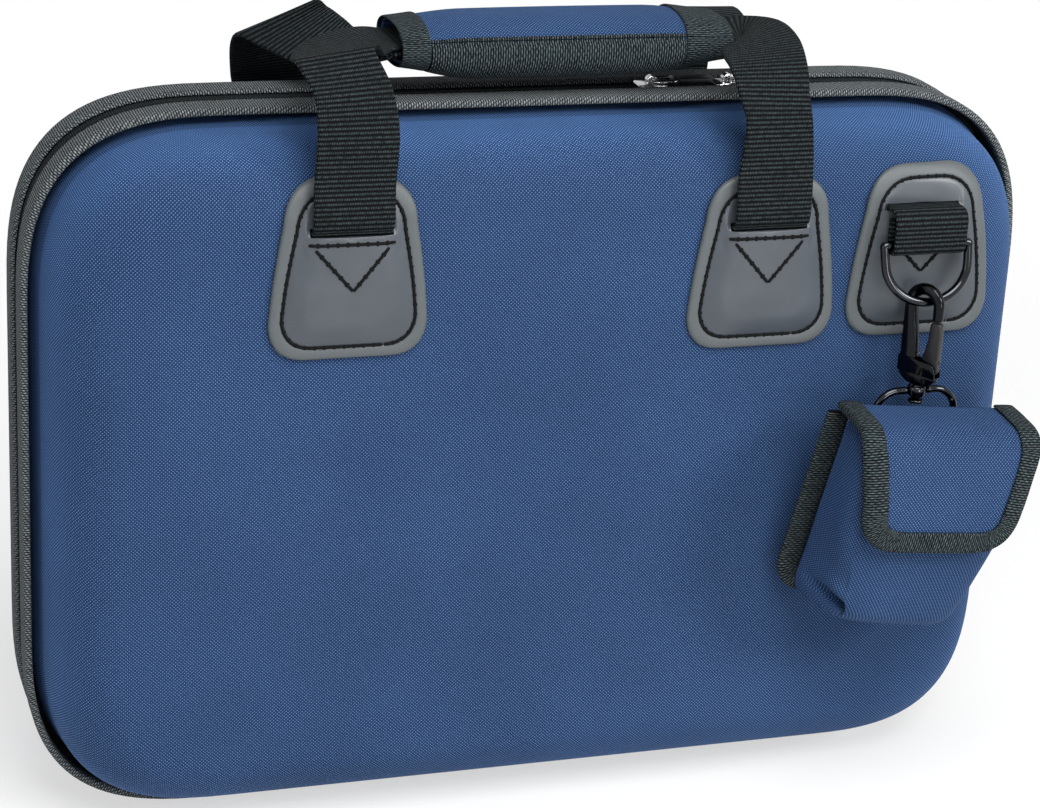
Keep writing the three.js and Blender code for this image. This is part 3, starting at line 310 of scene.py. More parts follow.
def smooth_curve(points, steps):
    """A uniform Catmull-Rom curve: each span's cubic takes half the chord across its ends."""
    p = np.asarray(points, float)
    full = np.concatenate([[2 * p[0] - p[1]], p, [2 * p[-1] - p[-2]]])
    t = np.linspace(0, 1, steps, endpoint=False).reshape((-1,) + (1,) * (p.ndim - 1))
    spans = []
    for a, b, c, d in zip(full[:-3], full[1:-2], full[2:-1], full[3:]):
        m0, m1 = (c - a) / 2, (d - b) / 2
        spans.append(
            b * (2 * t**3 - 3 * t**2 + 1) + m0 * (t**3 - 2 * t**2 + t)
            + c * (3 * t**2 - 2 * t**3) + m1 * (t**3 - t**2)
        )
    return np.concatenate(spans + [p[-1:]])


def flat_wire(line, normal, across, through=None, sides=18, closed=True, power=1.0):
    """A wire along a line in one plane: its section is a circle, or a squared oval, with one
    axis in the plane and the other along the plane's normal."""
    line = np.asarray(line, float)
    if closed:
        along = unit(np.roll(line, -1, 0) - np.roll(line, 1, 0))
    else:
        along = unit(np.gradient(line, axis=0))
    side = unit(np.cross(along, normal))
    w = circle(sides)[:, None]
    across = np.broadcast_to(across, len(line))[:, None, None]
    through = across if through is None else np.broadcast_to(through, len(line))[:, None, None]
    in_plane = soft(np.cos(w), power) * across * side[:, None]
    return line[:, None] + in_plane + soft(np.sin(w), power) * through * np.asarray(normal, float)


# The case's rim

def rim():
    """Round the rim: a centre for each point and its direction out. A corner's direction is a
    squared quarter circle, and along a straight the centre moves instead."""
    corner_steps, long_steps, short_steps = 26, 34, 22
    corners = np.array([(1, 1), (-1, 1), (-1, -1), (1, -1)])
    corners = corners * [WIDTH / 2 - CORNER, HEIGHT / 2 - CORNER]
    centres, ways = [], []
    for k, (at, after) in enumerate(zip(corners, np.roll(corners, -1, 0))):
        a = (k + np.linspace(0, 1, corner_steps)) * np.pi / 2
        ways.append(pair(soft(np.cos(a), POWER), soft(np.sin(a), POWER)))
        centres.append(np.repeat(at[None], corner_steps, 0))
        s = np.linspace(0, 1, (short_steps if k % 2 else long_steps) + 2)[1:-1, None]
        ways.append(np.repeat(np.round(ways[-1][-1:]), len(s), 0))
        centres.append(at * (1 - s) + after * s)
    return np.concatenate(centres), np.concatenate(ways)


RIM_AT, RIM_OUT = rim()


def rim_points(out, y):
    """The rim's loop moved out by a distance, at a depth, as points."""
    flat = RIM_AT + (CORNER + out) * RIM_OUT
    return xyz(flat[:, 0], y, MID_Z + flat[:, 1])


def fall_back(x, z):
    """How far the lid's outside lies behind the face's edge at a place. The superellipse
    through the place gives its distance in from the rim, and the quarter oval the depth."""
    beyond_x = np.maximum(np.abs(x) - WIDTH / 2 + CORNER, 0)
    beyond_z = np.maximum(np.abs(z - MID_Z) - HEIGHT / 2 + CORNER, 0)
    drawn = CORNER - (beyond_x ** (2 / POWER) + beyond_z ** (2 / POWER)) ** (POWER / 2)
    cosine = np.clip(1 - (drawn - DRAFT) / EDGE_INSET, 0, 1)
    return EDGE_DEPTH * (1 - np.sqrt(1 - cosine**2))


HUB_SHARE = 0.02


def dish(side, inset, face_rows=18, edge_rows=20):
    """Rings of a moulded half: a drafted wall, a quarter oval edge, and a face whose crown is
    highest in the middle. The UV map unrolls the wall and edge outwards from the face."""
    straight = HALF_DEPTH - EDGE_DEPTH
    wall = np.linspace(RIM_BACK, straight, 8)[:-1]
    drawn_wall = inset + DRAFT * np.clip(wall / straight, 0, 1)
    a = np.linspace(0, np.pi / 2, edge_rows)
    drawn_edge = DRAFT + EDGE_INSET * (1 - np.cos(a)) + inset * np.cos(a)
    depth_edge = straight + (EDGE_DEPTH - inset) * np.sin(a)
    drawn, depth = np.r_[drawn_wall, drawn_edge], np.r_[wall, depth_edge]
    run = lengths(pair(drawn, depth))
    beyond = (run[-1] - run)[:, None, None]
    rings = np.stack([rim_points(-d, side * y) for d, y in zip(drawn, depth)])
    last = rings[-1]
    s = np.linspace(1, HUB_SHARE, face_rows)[1:, None, None]
    middle = np.array([0, 0, MID_Z])
    face = middle + (last - middle) * s
    face[..., 1] = side * (HALF_DEPTH - inset + CROWN * (1 - s[..., 0] ** 2))
    unrolled = last[None, :, [0, 2]] + unit(RIM_OUT)[None] * beyond
    uv = np.concatenate([unrolled, face[..., [0, 2]]])
    return np.concatenate([rings, face]), np.concatenate([uv, uv[:, :1]], 1)


# Materials

class Value:
    """A socket's value on its way through a node tree. Arithmetic on it adds Math nodes."""

    def __init__(self, nodes, socket):
        self.nodes, self.socket = nodes, socket

    def math(self, operation, *others):
        return self.nodes.node("ShaderNodeMath", {"operation": operation}, self, *others)

    def __add__(self, other):
        return self.math("ADD", other)

    def __sub__(self, other):
        return self.math("SUBTRACT", other)

    def __rsub__(self, other):
        return self.nodes.node("ShaderNodeMath", {"operation": "SUBTRACT"}, other, self)

    def __mul__(self, other):
        return self.math("MULTIPLY", other)

    def __truediv__(self, other):
        return self.math("DIVIDE", other)

    __radd__, __rmul__ = __add__, __mul__

    def sine(self):
        return self.math("SINE")

    def floor(self):
        return self.math("FLOOR")

    def size(self):
        return self.math("ABSOLUTE")

    def ease(self, low, high):
        return self.nodes.node(
            "ShaderNodeMapRange", {"interpolation_type": "SMOOTHSTEP"}, self, low, high, 0.0, 1.0
        )


class Nodes:
    """A node tree and the one way that nodes are added to it."""

    def __init__(self, owner):
        owner.use_nodes = True
        self.tree = owner.node_tree

    def node(self, kind, settings, *values, output=0, **named):
        """Any node: its settings are set first, then its sockets that are switched on, in
        order or by name. A colour of three numbers gets its alpha."""
        made = self.tree.nodes.new(kind)
        for key, value in settings.items():
            setattr(made, key, value)
        pairs = list(zip((socket for socket in made.inputs if socket.enabled), values))
        pairs += [(made.inputs[key.replace("_", " ")], value) for key, value in named.items()]
        for socket, value in pairs:
            if isinstance(value, Value):
                self.tree.links.new(value.socket, socket)
            elif socket.type == "RGBA":
                socket.default_value = (*value, 1)
            else:
                socket.default_value = value
        return Value(self, made.outputs[output])

    def seen(self):
        """A factor that is 1 for rays from the camera and through reflections, and 0 for the
        rays that light things."""
        camera, glossy, through = (
            self.node("ShaderNodeLightPath", {}, output=f"Is {kind} Ray")
            for kind in ("Camera", "Glossy", "Transmission"))
        return camera.math("MAXIMUM", glossy).math("MAXIMUM", through)

    def end(self, name, factor, first, second):
        """Joins two shaders by a factor into the tree's last node."""
        both = self.node("ShaderNodeMixShader", {}, factor, first, second)
        self.tree.links.new(both.socket, self.tree.nodes[name].inputs[0])


class Finish(Nodes):
    """One procedural material: a Principled shader and the nodes that feed it."""

    def __init__(self, name, **constants):
        self.material = bpy.data.materials.new(name)
        super().__init__(self.material)
        self.shader = self.tree.nodes["Principled BSDF"]
        for key, value in constants.items():
            self.shader.inputs[key.replace("_", " ")].default_value = value

    def mix(self, factor, first, second):
        """A colour between two, by a factor."""
        return self.node("ShaderNodeMix", {"data_type": "RGBA"}, factor, first, second, output=2)

    def uv(self):
        """The piece's own UV map, in millimetres, as two values."""
        spot = self.node("ShaderNodeUVMap", {"uv_map": "UVMap"})
        return self.part(spot, 0), self.part(spot, 1)

    def part(self, spot, index):
        """One of a place's three coordinates."""
        return self.node("ShaderNodeSeparateXYZ", {}, spot, output=index)

    def place(self):
        """Object coordinates, in metres."""
        return self.node("ShaderNodeTexCoord", {}, output=3)

    def noise(self, scale, detail, rough=0.5):
        """Noise in object coordinates, at a number of cells to the metre."""
        return self.node(
            "ShaderNodeTexNoise", {}, Vector=self.place(), Scale=scale, Detail=detail, Roughness=rough
        )

    def feed(self, **links):
        """Links values into the shader's sockets by name."""
        for key, value in links.items():
            self.tree.links.new(value.socket, self.shader.inputs[key.replace("_", " ")])
        return self

    def bump(self, height, distance, strength=1.0):
        """Feeds the normal from a height, whose full step is a distance in millimetres."""
        made = self.node("ShaderNodeBump", {}, Strength=strength, Distance=distance * MM, Height=height)
        return self.feed(Normal=made)


def toned(colour, *shares):
    """A colour with each part multiplied by its share, or all three by the only one."""
    return tuple(np.multiply(colour, shares).tolist())


def woven(name, dark, bright, pitch):
    """Plain weave: the product of two sines puts a thread's crown on a staggered lattice.
    The rounded edge between a shell's face and its wall is painted paler, a painted highlight where it
    turns towards the lamps."""
    f = Finish(name, Roughness=0.85, Specular_IOR_Level=0.15, Diffuse_Roughness=0.4)
    u, v = f.uv()
    warp, weft = (u * (TURN / pitch)).sine(), (v * (TURN / pitch)).sine()
    crown, cross = warp * weft, warp.size() * weft.size()
    uneven = f.noise(900.0, 1.0) * 0.9 + 0.55
    cloud = f.noise(18.0, 3.0).ease(0.2, 0.8) * 0.22 + 0.89
    shine = crown.ease(0.2, 0.9) * uneven + cross * 0.15
    thread = f.mix(shine.ease(0.0, 1.1), dark, bright)
    # Painted highlight: where the shell turns from its face to its wall, 16.4 to 43.2 mm out from the
    # middle plane, the colour is made up to 1.6 times paler.
    apart = f.part(f.place(), 1).size()
    painted_edge_light = (1 - apart.ease(0.026, 0.0432)) * apart.ease(0.0164, 0.0172)
    paler = cloud * (painted_edge_light * 0.6 + 1)
    f.feed(Base_Color=f.node("ShaderNodeVectorMath", {"operation": "SCALE"}, thread, Scale=paler))
    f.bump(crown.size() * 0.6 + cross * 0.4, distance=0.1, strength=0.5)
    return f.material


def ribbed(name, dark, bright, rib, thread, depth, slant=0.5, broken=0.75, start=0.2):
    """Ribs across a webbing: a sine along it, broken into threads that step at each rib by the
    slant. Rib and thread are their widths, broken is how far the threads part, and start is
    the share of the shade that stays dark."""
    f = Finish(name, Roughness=0.85, Specular_IOR_Level=0.1)
    u, v = f.uv()
    row = u / rib
    hump = (row * np.pi).sine().size()
    step = row.floor() * slant
    strand = ((v / thread + step) * TURN).sine() * 0.5 + 0.5
    uneven = f.noise(1100.0, 1.0) * 0.8 + 0.5
    lit = hump * (strand * broken + (1 - broken)) * uneven
    f.feed(Base_Color=f.mix(lit.ease(start, 1.0), dark, bright))
    f.bump(hump * (strand * 0.5 + 0.5), distance=depth)
    return f.material


def leather(name, colour, worn, margin):
    """Satin leather: fine grain and faint clouding. Its UV map's u is the distance in from
    the patch's edge, and the margin outside the stitches is paler and duller."""
    f = Finish(name, Specular_IOR_Level=0.5)
    u, _ = f.uv()
    inside = u.ease(3.3, 4.6)
    grain = f.node("ShaderNodeTexVoronoi", {}, Vector=f.place(), Scale=1500.0)
    cloud = f.noise(60.0, 4.0)
    flat = f.mix(cloud.ease(0.35, 0.8) * 0.55, colour, worn)
    f.feed(Base_Color=f.mix(inside, margin, flat))
    f.feed(Roughness=cloud * 0.12 + 0.44 - inside * 0.14)
    f.bump(grain * 0.5 + f.noise(420.0, 3.0) * 0.5, distance=0.035, strength=0.5)
    return f.material


def metal(name, colour, worn, rough):
    """Plated metal with faint handling marks and wear."""
    f = Finish(name, Metallic=1.0)
    marks = f.noise(240.0, 5.0, rough=0.7)
    f.feed(Base_Color=f.mix(marks.ease(0.5, 0.85) * 0.5, colour, worn))
    f.feed(Roughness=marks * 0.14 + (rough - 0.06))
    f.bump(f.noise(1800.0, 2.0), distance=0.008, strength=0.5)
    return f.material


def moulded(name, colour, rough):
    """Moulded nylon: an even tone with a faint sparkle of texture."""
    f = Finish(name, Specular_IOR_Level=0.45)
    speck = f.noise(1400.0, 2.0)
    f.feed(Base_Color=f.mix(speck.ease(0.5, 0.9) * 0.6, colour, toned(colour, 1.7)))
    f.feed(Roughness=speck * 0.15 + rough)
    f.bump(speck, distance=0.02, strength=0.6)
    return f.material


def pile(name, colour):
    """Short pile: fine uneven fibres and slow changes where it is brushed."""
    f = Finish(name, Roughness=0.95, Specular_IOR_Level=0.15, Sheen_Weight=0.5, Sheen_Roughness=0.4)
    fibre = f.noise(2200.0, 2.0)
    brushed = f.noise(30.0, 3.0)
    shade = (fibre * 0.6 + brushed * 0.4).ease(0.35, 0.7)
    f.feed(Base_Color=f.mix(shade, colour, toned(colour, 2.2)))
    f.bump(fibre, distance=0.25, strength=0.7)
    return f.material


def toothed(name, colour, pitch):
    """A zip coil's strip: a sharp sine along it, one tooth to each pitch."""
    f = Finish(name, Roughness=0.45, Specular_IOR_Level=0.5)
    u, _ = f.uv()
    tooth = (u * (np.pi / pitch)).sine().size()
    f.feed(Base_Color=f.mix(tooth.ease(0.5, 1.0), colour, toned(colour, 3.0)))
    f.bump(tooth, distance=0.4)
    return f.material


def stitched(name, colour):
    """Twisted thread: a slanted sine across each stitch."""
    f = Finish(name, Roughness=0.8, Specular_IOR_Level=0.1)
    u, v = f.uv()
    twist = ((u * 1.6 + v * 0.8) * TURN).sine() * 0.5 + 0.5
    f.feed(Base_Color=f.mix(twist, colour, toned(colour, 1.7)))
    f.bump(twist, distance=0.06)
    return f.material


def colour_field(name, description, default):
    """A linear colour for the panel."""
    return bpy.props.FloatVectorProperty(
        name=name, description=description, subtype="COLOR", size=3, min=0, max=1, default=default)


def number_field(name, description, default, low, high, subtype="NONE"):
    """A number with its limits for the panel."""
    return bpy.props.FloatProperty(
        name=name, description=description, default=default, min=low, max=high, subtype=subtype)


class CaseFinishes(bpy.types.PropertyGroup):
    """Colours and weave sizes that a user would change."""

    cloth_dark: colour_field(
        "Cloth, shaded thread", "Linear colour between the weave's crowns", (0.01, 0.026, 0.076))
    cloth_bright: colour_field(
        "Cloth, lit thread", "Linear colour on the weave's crowns", (0.084, 0.171, 0.331))
    weave_pitch: number_field(
        "Weave pitch", "Millimetres from one crown to the next along a thread", 1.15, 0.3, 4)
    web_dark: colour_field(
        "Webbing, shaded thread", "Linear colour between the ribs", (0.0015, 0.0018, 0.0021))
    web_bright: colour_field(
        "Webbing, lit thread", "Linear colour on the ribs", (0.044, 0.059, 0.064))
    web_rib: number_field("Webbing rib", "Millimetres from rib to rib along the webbing", 1.42, 0.4, 4)
    leather_colour: colour_field("Leather", "Linear colour of the patches", (0.046, 0.055, 0.066))
    hook_colour: colour_field(
        "Black nickel", "Linear colour of the rings and the hook", (0.036, 0.038, 0.042))


def make_finishes(p):
    """Every material, made once from the panel's colours."""
    cloth_dark, cloth_bright = tuple(p.cloth_dark), tuple(p.cloth_bright)
    dark, bright = tuple(p.web_dark), tuple(p.web_bright)
    FINISHES.update(
        cloth=woven("woven cloth", cloth_dark, cloth_bright, p.weave_pitch),
        webbing=ribbed("webbing", dark, bright, p.web_rib, 0.52, 0.25, broken=0.5, start=0.36),
        binding=ribbed("edge binding", dark, toned(bright, 5.04, 4.2, 4.032), 0.8, 1.5, 0.2,
                       slant=0.37, broken=0.5, start=0.12),
        piping=ribbed("corded binding", dark, toned(bright, 1.75), 0.8, 2.2, 0.25,
                      broken=0.3, start=0.35),
        tape=ribbed("zip tape", dark, toned(bright, 0.7), 0.8, 0.8, 0.08),
        leather=leather("patch leather", tuple(p.leather_colour), (0.070, 0.081, 0.094),
                        (0.066, 0.076, 0.081)),
        thread=stitched("stitching thread", (0.0035, 0.0037, 0.004)),
        beads=stitched("binding stitches", (0.04, 0.045, 0.047)),
        gunmetal=metal("black nickel", tuple(p.hook_colour), (0.09, 0.09, 0.095), 0.09),
        hook=metal("black lacquered hook", toned(p.hook_colour, 0.5), (0.035, 0.035, 0.037), 0.1),
        lever=moulded("satin black lever", (0.006, 0.006, 0.0065), 0.3),
        nickel=metal("polished nickel", (0.55, 0.56, 0.58), (0.75, 0.76, 0.78), 0.2),
        plastic=moulded("black nylon", (0.010, 0.010, 0.011), 0.38),
        coil=toothed("zip coil", (0.010, 0.010, 0.011), 1.2),
        plush=pile("short pile", (0.010, 0.0105, 0.012)),
    )


# Rigid and soft shapes used by the pieces

def lathe(form, profile, x, y, closed=False):
    """A profile of radius and height turned round an upright axis."""
    profile = np.asarray(profile, float)
    w = circle(28)
    radius = profile[:, :1]
    rings = xyz(x + radius * np.cos(w), y + radius * np.sin(w), profile[:, 1:2])
    return form.tube(rings, closed=closed)


def around_rim(form, section, side):
    """A closed section of distances out and depths, carried all round the rim."""
    section = np.asarray(section, float)
    rings = np.stack([rim_points(out, side * y) for out, y in section])
    u, v = lengths(looped(rim_points(PROUD, 0))), lengths(looped(section))
    return form.tube(rings, pair(u[None], v[:, None]), closed=True)


def along_zip(form, section, side):
    """A closed section carried the way the zip runs: from one end of the hinge strip up, over
    and down to its other end, a little clear of both."""
    reach, corner = HINGE_REACH + 1.5, WIDTH / 2 - CORNER
    bottom = RIM_OUT[:, 1] <= -1
    start = int(np.argmax((RIM_AT[:, 0] > 0) & bottom))
    kept = ~bottom | (RIM_AT[:, 0] > corner - 0.01)
    order = np.roll(np.arange(len(RIM_AT)), -start)
    order = order[kept[order]]
    level = RIM_AT[start, 1]
    at = np.concatenate([[[reach, level]], RIM_AT[order], [[-reach, level]]])
    out = np.concatenate([[[0, -1]], RIM_OUT[order], [[0, -1]]])
    section = np.asarray(section, float)
    flat = at[:, None] + (CORNER + section[None, :, :1]) * out[:, None]
    return form.tube(xyz(flat[..., 0], side * section[None, :, 1], MID_Z + flat[..., 1]))


def strip(form, a, b, thick):
    """A ribbon between two edge curves, with rounded edges. Its half thickness falls off near
    each edge as a quarter circle."""
    share = np.array([0, 0.008, 0.03, 0.07, 0.15, 0.3, 0.5, 0.7, 0.85, 0.93, 0.97, 0.992, 1.0])
    half = thick / 2 * rolled(np.minimum(share, 1 - share) / 0.03) + 0.02
    along = unit(np.gradient((a + b) / 2, axis=0))
    normal = unit(np.cross(b - a, along))
    middle = a[:, None] + (b - a)[:, None] * share[:, None]
    raised = normal[:, None] * half[:, None]
    rings = np.concatenate([middle + raised, (middle - raised)[:, ::-1]], 1)
    wide = np.linalg.norm(b - a, axis=1)[:, None]
    v = (np.r_[share, share[::-1], share[:1]][None] - 0.5) * wide
    return form.tube(rings, pair(lengths((a + b) / 2)[:, None], v), caps="pairs")


def capsule(long, wide, tall):
    """A stitch: five rings of six points, smaller at the ends, all in quads."""
    share = np.array([-1, -0.82, 0, 0.82, 1])[:, None] / 2
    swell = np.array([0.35, 0.85, 1, 0.85, 0.35])[:, None] / 2
    rows, sides = len(share), 6
    w = circle(sides)
    points = xyz(share * long, swell * np.cos(w) * wide, swell * np.sin(w) * tall).reshape(-1, 3)
    quads, _ = tube_faces(rows, sides, False)
    ends = np.array([[0, 1, 2, 3], [0, 3, 4, 5]])
    quads = np.concatenate([quads, ends, (ends + (rows - 1) * sides)[:, ::-1]])
    a, b, c = points[quads[:, 0]], points[quads[:, 1]], points[quads[:, 2]]
    if np.einsum("ij,ij->", a, np.cross(b, c)) < 0:
        quads = quads[:, ::-1]
    return points, quads


def sew(form, path, out, long, gap, wide, tall, closed):
    """Stitches along a path. Each lies with its flat side on the surface facing out."""
    spot, along = resample(np.asarray(path, float), long + gap, closed)
    out = np.broadcast_to(out, spot.shape) if np.ndim(out) == 1 else out(spot, along)
    across = unit(np.cross(out, along))
    axes = np.stack([along, across, unit(np.cross(along, across))], 1)
    return form.copies(*capsule(long, wide, tall), spot, axes)


def chain_stitch(form, path, out, p, closed=False):
    """Thick thread in leather: a row of stitches, with a short wide knot at the needle hole
    in each gap between them."""
    path = np.asarray(path, float)
    spot, _ = resample(path, p.stitch_length + p.stitch_gap, closed)
    sew(form, path, out, p.stitch_length, p.stitch_gap, 1.05, 0.9, closed)
    holes, way = (spot[:-1] + spot[1:]) / 2, unit(spot[1:] - spot[:-1])
    across = unit(np.cross(np.broadcast_to(out, way.shape), way))
    axes = np.stack([way, across, unit(np.cross(way, across))], 1)
    return form.copies(*capsule(1.1, 1.6, 0.8), holes, axes)


def slab(form, outline, frame, low, high, edge):
    """A flat outline given thickness, with its edges rolled over by moving them in along the
    outline's own normals. The frame is an origin and three axes."""
    outline = np.asarray(outline, float)
    step = np.roll(outline, -1, 0) - np.roll(outline, 1, 0)
    normal = unit(pair(step[:, 1], -step[:, 0]))
    after = np.roll(outline, -1, 0)
    normal = normal * np.sign(np.sum(outline[:, 0] * after[:, 1] - outline[:, 1] * after[:, 0]))
    levels = [(low, 1), (low + edge * 0.3, 0.3), (low + edge, 0), (high - edge, 0),
              (high - edge * 0.3, 0.3), (high, 1)]
    origin, u, v, n = (np.asarray(k, float) for k in frame)
    rings = []
    for level, drawn in levels:
        q = outline - normal * edge * drawn
        rings.append(origin + q[:, :1] * u + q[:, 1:] * v + n * level)
    return form.tube(np.stack(rings))


def rounded(half_x, half_y, corner, cx=0.0, cy=0.0):
    """A rounded rectangle's outline, running round once."""
    parts = []
    for k, (sx, sy) in enumerate(((1, 1), (-1, 1), (-1, -1), (1, -1))):
        start = k * np.pi / 2
        parts.append(arc(start, start + np.pi / 2, 8, corner,
                         cx + sx * (half_x - corner), cy + sy * (half_y - corner)))
    return np.concatenate(parts)


def dense(loop, spacing):
    """A closed outline with more points along its straight runs."""
    whole = looped(loop)
    run = lengths(whole)
    even = np.linspace(0, run[-1], int(run[-1] / spacing), endpoint=False)
    return at_runs(whole, np.union1d(run[:-1], even))


def polar(loop, centre, angles):
    """How far an outline lies from a centre in each direction."""
    d = dense(loop, 0.4) - centre
    a, r = np.arctan2(d[:, 1], d[:, 0]), np.hypot(d[:, 0], d[:, 1])
    order = np.argsort(a)
    return np.interp(angles, a[order], r[order], period=TURN)


# The case

BINDING_SECTION = [
    (0.3, 15.3), (0.5, 15.85), (1.0, 16.0), (1.7, 15.95), (2.25, 15.7), (2.55, 15.2),
    (2.68, 14.2), (2.7, 12.5), (2.66, 11.0), (2.7, 9.5), (2.7, 7.4), (2.6, 6.6), (2.4, 6.2),
    (2.55, 5.7), (2.35, 5.1), (1.9, 4.7), (1.45, 4.58), (1.4, 4.9), (1.4, 8.25), (0.3, 8.25),
]


def wall_form(side, outside, inside, *rows):
    """A moulded half between two insets from the case's outside, closed round its rim."""
    outer, outer_uv = dish(side, outside, *rows)
    inner, inner_uv = dish(side, inside, *rows)
    return Form().tube(np.concatenate([outer[::-1], inner]),
                       np.concatenate([outer_uv[::-1], inner_uv]))


def make_shells():
    """The two cloth shells and the lid's lining, each a dish with a wall."""
    for side, owner in SIDES:
        wall_form(side, 0, WALL).finish(f"{owner}_cloth", "cloth", owner, [f"{owner}_shell"], "cloth")
    lining = wall_form(-1, WALL + GAP, WALL + GAP + LINING, 8, 12)
    lining.finish("lid_pile", "plush", "lid", ["lid_lining"], "plush")


def make_tray():
    """The tray keeps the CAD solid's pockets, with its edges rounded and its pile."""
    tray = frame["nodes"]["base_insert"]
    tray.data.materials.clear()
    tray.data.materials.append(FINISHES["plush"])
    bevel = tray.modifiers.new("soft edges", "BEVEL")
    bevel.width = TRAY_EDGE * MM
    bevel.segments = 2
    bevel.limit_method = "ANGLE"


def outward(spot, along):
    """The direction away from the rim's middle, square to the way along."""
    out = unit(np.cross(along, [0, 1, 0]))
    away = np.sum(out * (spot - [0, 0, MID_Z]), -1, keepdims=True)
    return out * np.sign(away)


def make_bindings(p):
    """The two bound edges: a ribbed tape round the rim and a row of stitches beside the zip."""
    for side, owner in SIDES:
        around_rim(Form(), BINDING_SECTION, side).finish(
            f"{owner}_bound_edge", "binding", owner, [f"{owner}_binding"], "webbing")
        beads = sew(Form(), rim_points(PROUD - 0.28, side * 6.15), outward,
                    p.bead_length, p.bead_gap, 0.8, 0.6, True)
        beads.finish(f"{owner}_edge_stitches", "beads", owner, slot="webbing")


def make_zip():
    """The zip's tapes and coils, and the hinge strip between their ends."""
    tape = [(0.3, 0.75), (1.0, 0.75), (1.1, 0.95), (1.1, 2.5), (1.02, 2.9), (1.1, 3.4),
            (1.1, 7.85), (0.95, 7.95), (0.3, 7.95)]
    coil = pair(-0.7 + 0.7 * np.cos(circle(14)), 1.55 + 0.8 * np.sin(circle(14)))
    for side, owner in SIDES:
        for section, kind, slot in ((tape, "tape", "webbing"), (coil, "coil", "plastic")):
            along_zip(Form(), section, side).finish(
                f"{owner}_zip_{kind}", kind, owner, [f"{owner}_zipper_{kind}"], slot)
    path = xyz(0, np.linspace(-4.25, 4.25, 22), HINGE_THICK / 2)
    reach = np.array([[HINGE_REACH, 0, 0]])
    form = strip(Form(), path - reach, path + reach, HINGE_THICK)
    piece = form.finish("hinge_webbing", "tape", None, ["hinge_strip"], "webbing")
    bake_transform(piece)


# Patches

STRAP_HOLE, RING_HOLE = (-0.2, 2.2), (2.9, 5.0)
SIDE_SWELL, LOW_CORNER, TOP_CORNER = 1.5, 11.0, 14.0
SEAM_IN, DOME_FROM, DOME_TO = 4.0, 4.4, 11.5


def corner_curve(a, b, c):
    """A quadratic curve from a to c drawn towards b."""
    t = np.linspace(0, 1, 12)[:, None]
    return (1 - t) ** 2 * np.array(a) + 2 * t * (1 - t) * np.array(b) + t**2 * np.array(c)


def patch_loop(cx, bottom, shrink):
    """The patch's outline, drawn in by a distance: wider at its foot than at its top."""
    low_half, top_half = PATCH_WIDE / 2 - shrink, PATCH_TOP / 2 - shrink
    low, top = bottom + shrink, bottom + PATCH_TALL - shrink
    low_corner, top_corner = LOW_CORNER - shrink / 2, TOP_CORNER - shrink / 2
    right = np.concatenate([
        corner_curve((low_half - low_corner, low), (low_half, low), (low_half, low + low_corner)),
        corner_curve((top_half, top - top_corner), (top_half, top), (top_half - top_corner, top)),
    ])
    loop = dense(np.concatenate([right, right[::-1] * [-1, 1]]), 1.2)
    rise = np.clip((loop[:, 1] - low) / (top - low), 0, 1)
    beside = (loop[:, 0] / low_half) ** 2
    loop[:, 0] += np.sign(loop[:, 0]) * SIDE_SWELL * np.sin(np.pi * rise) * beside
    return loop + [cx, 0]


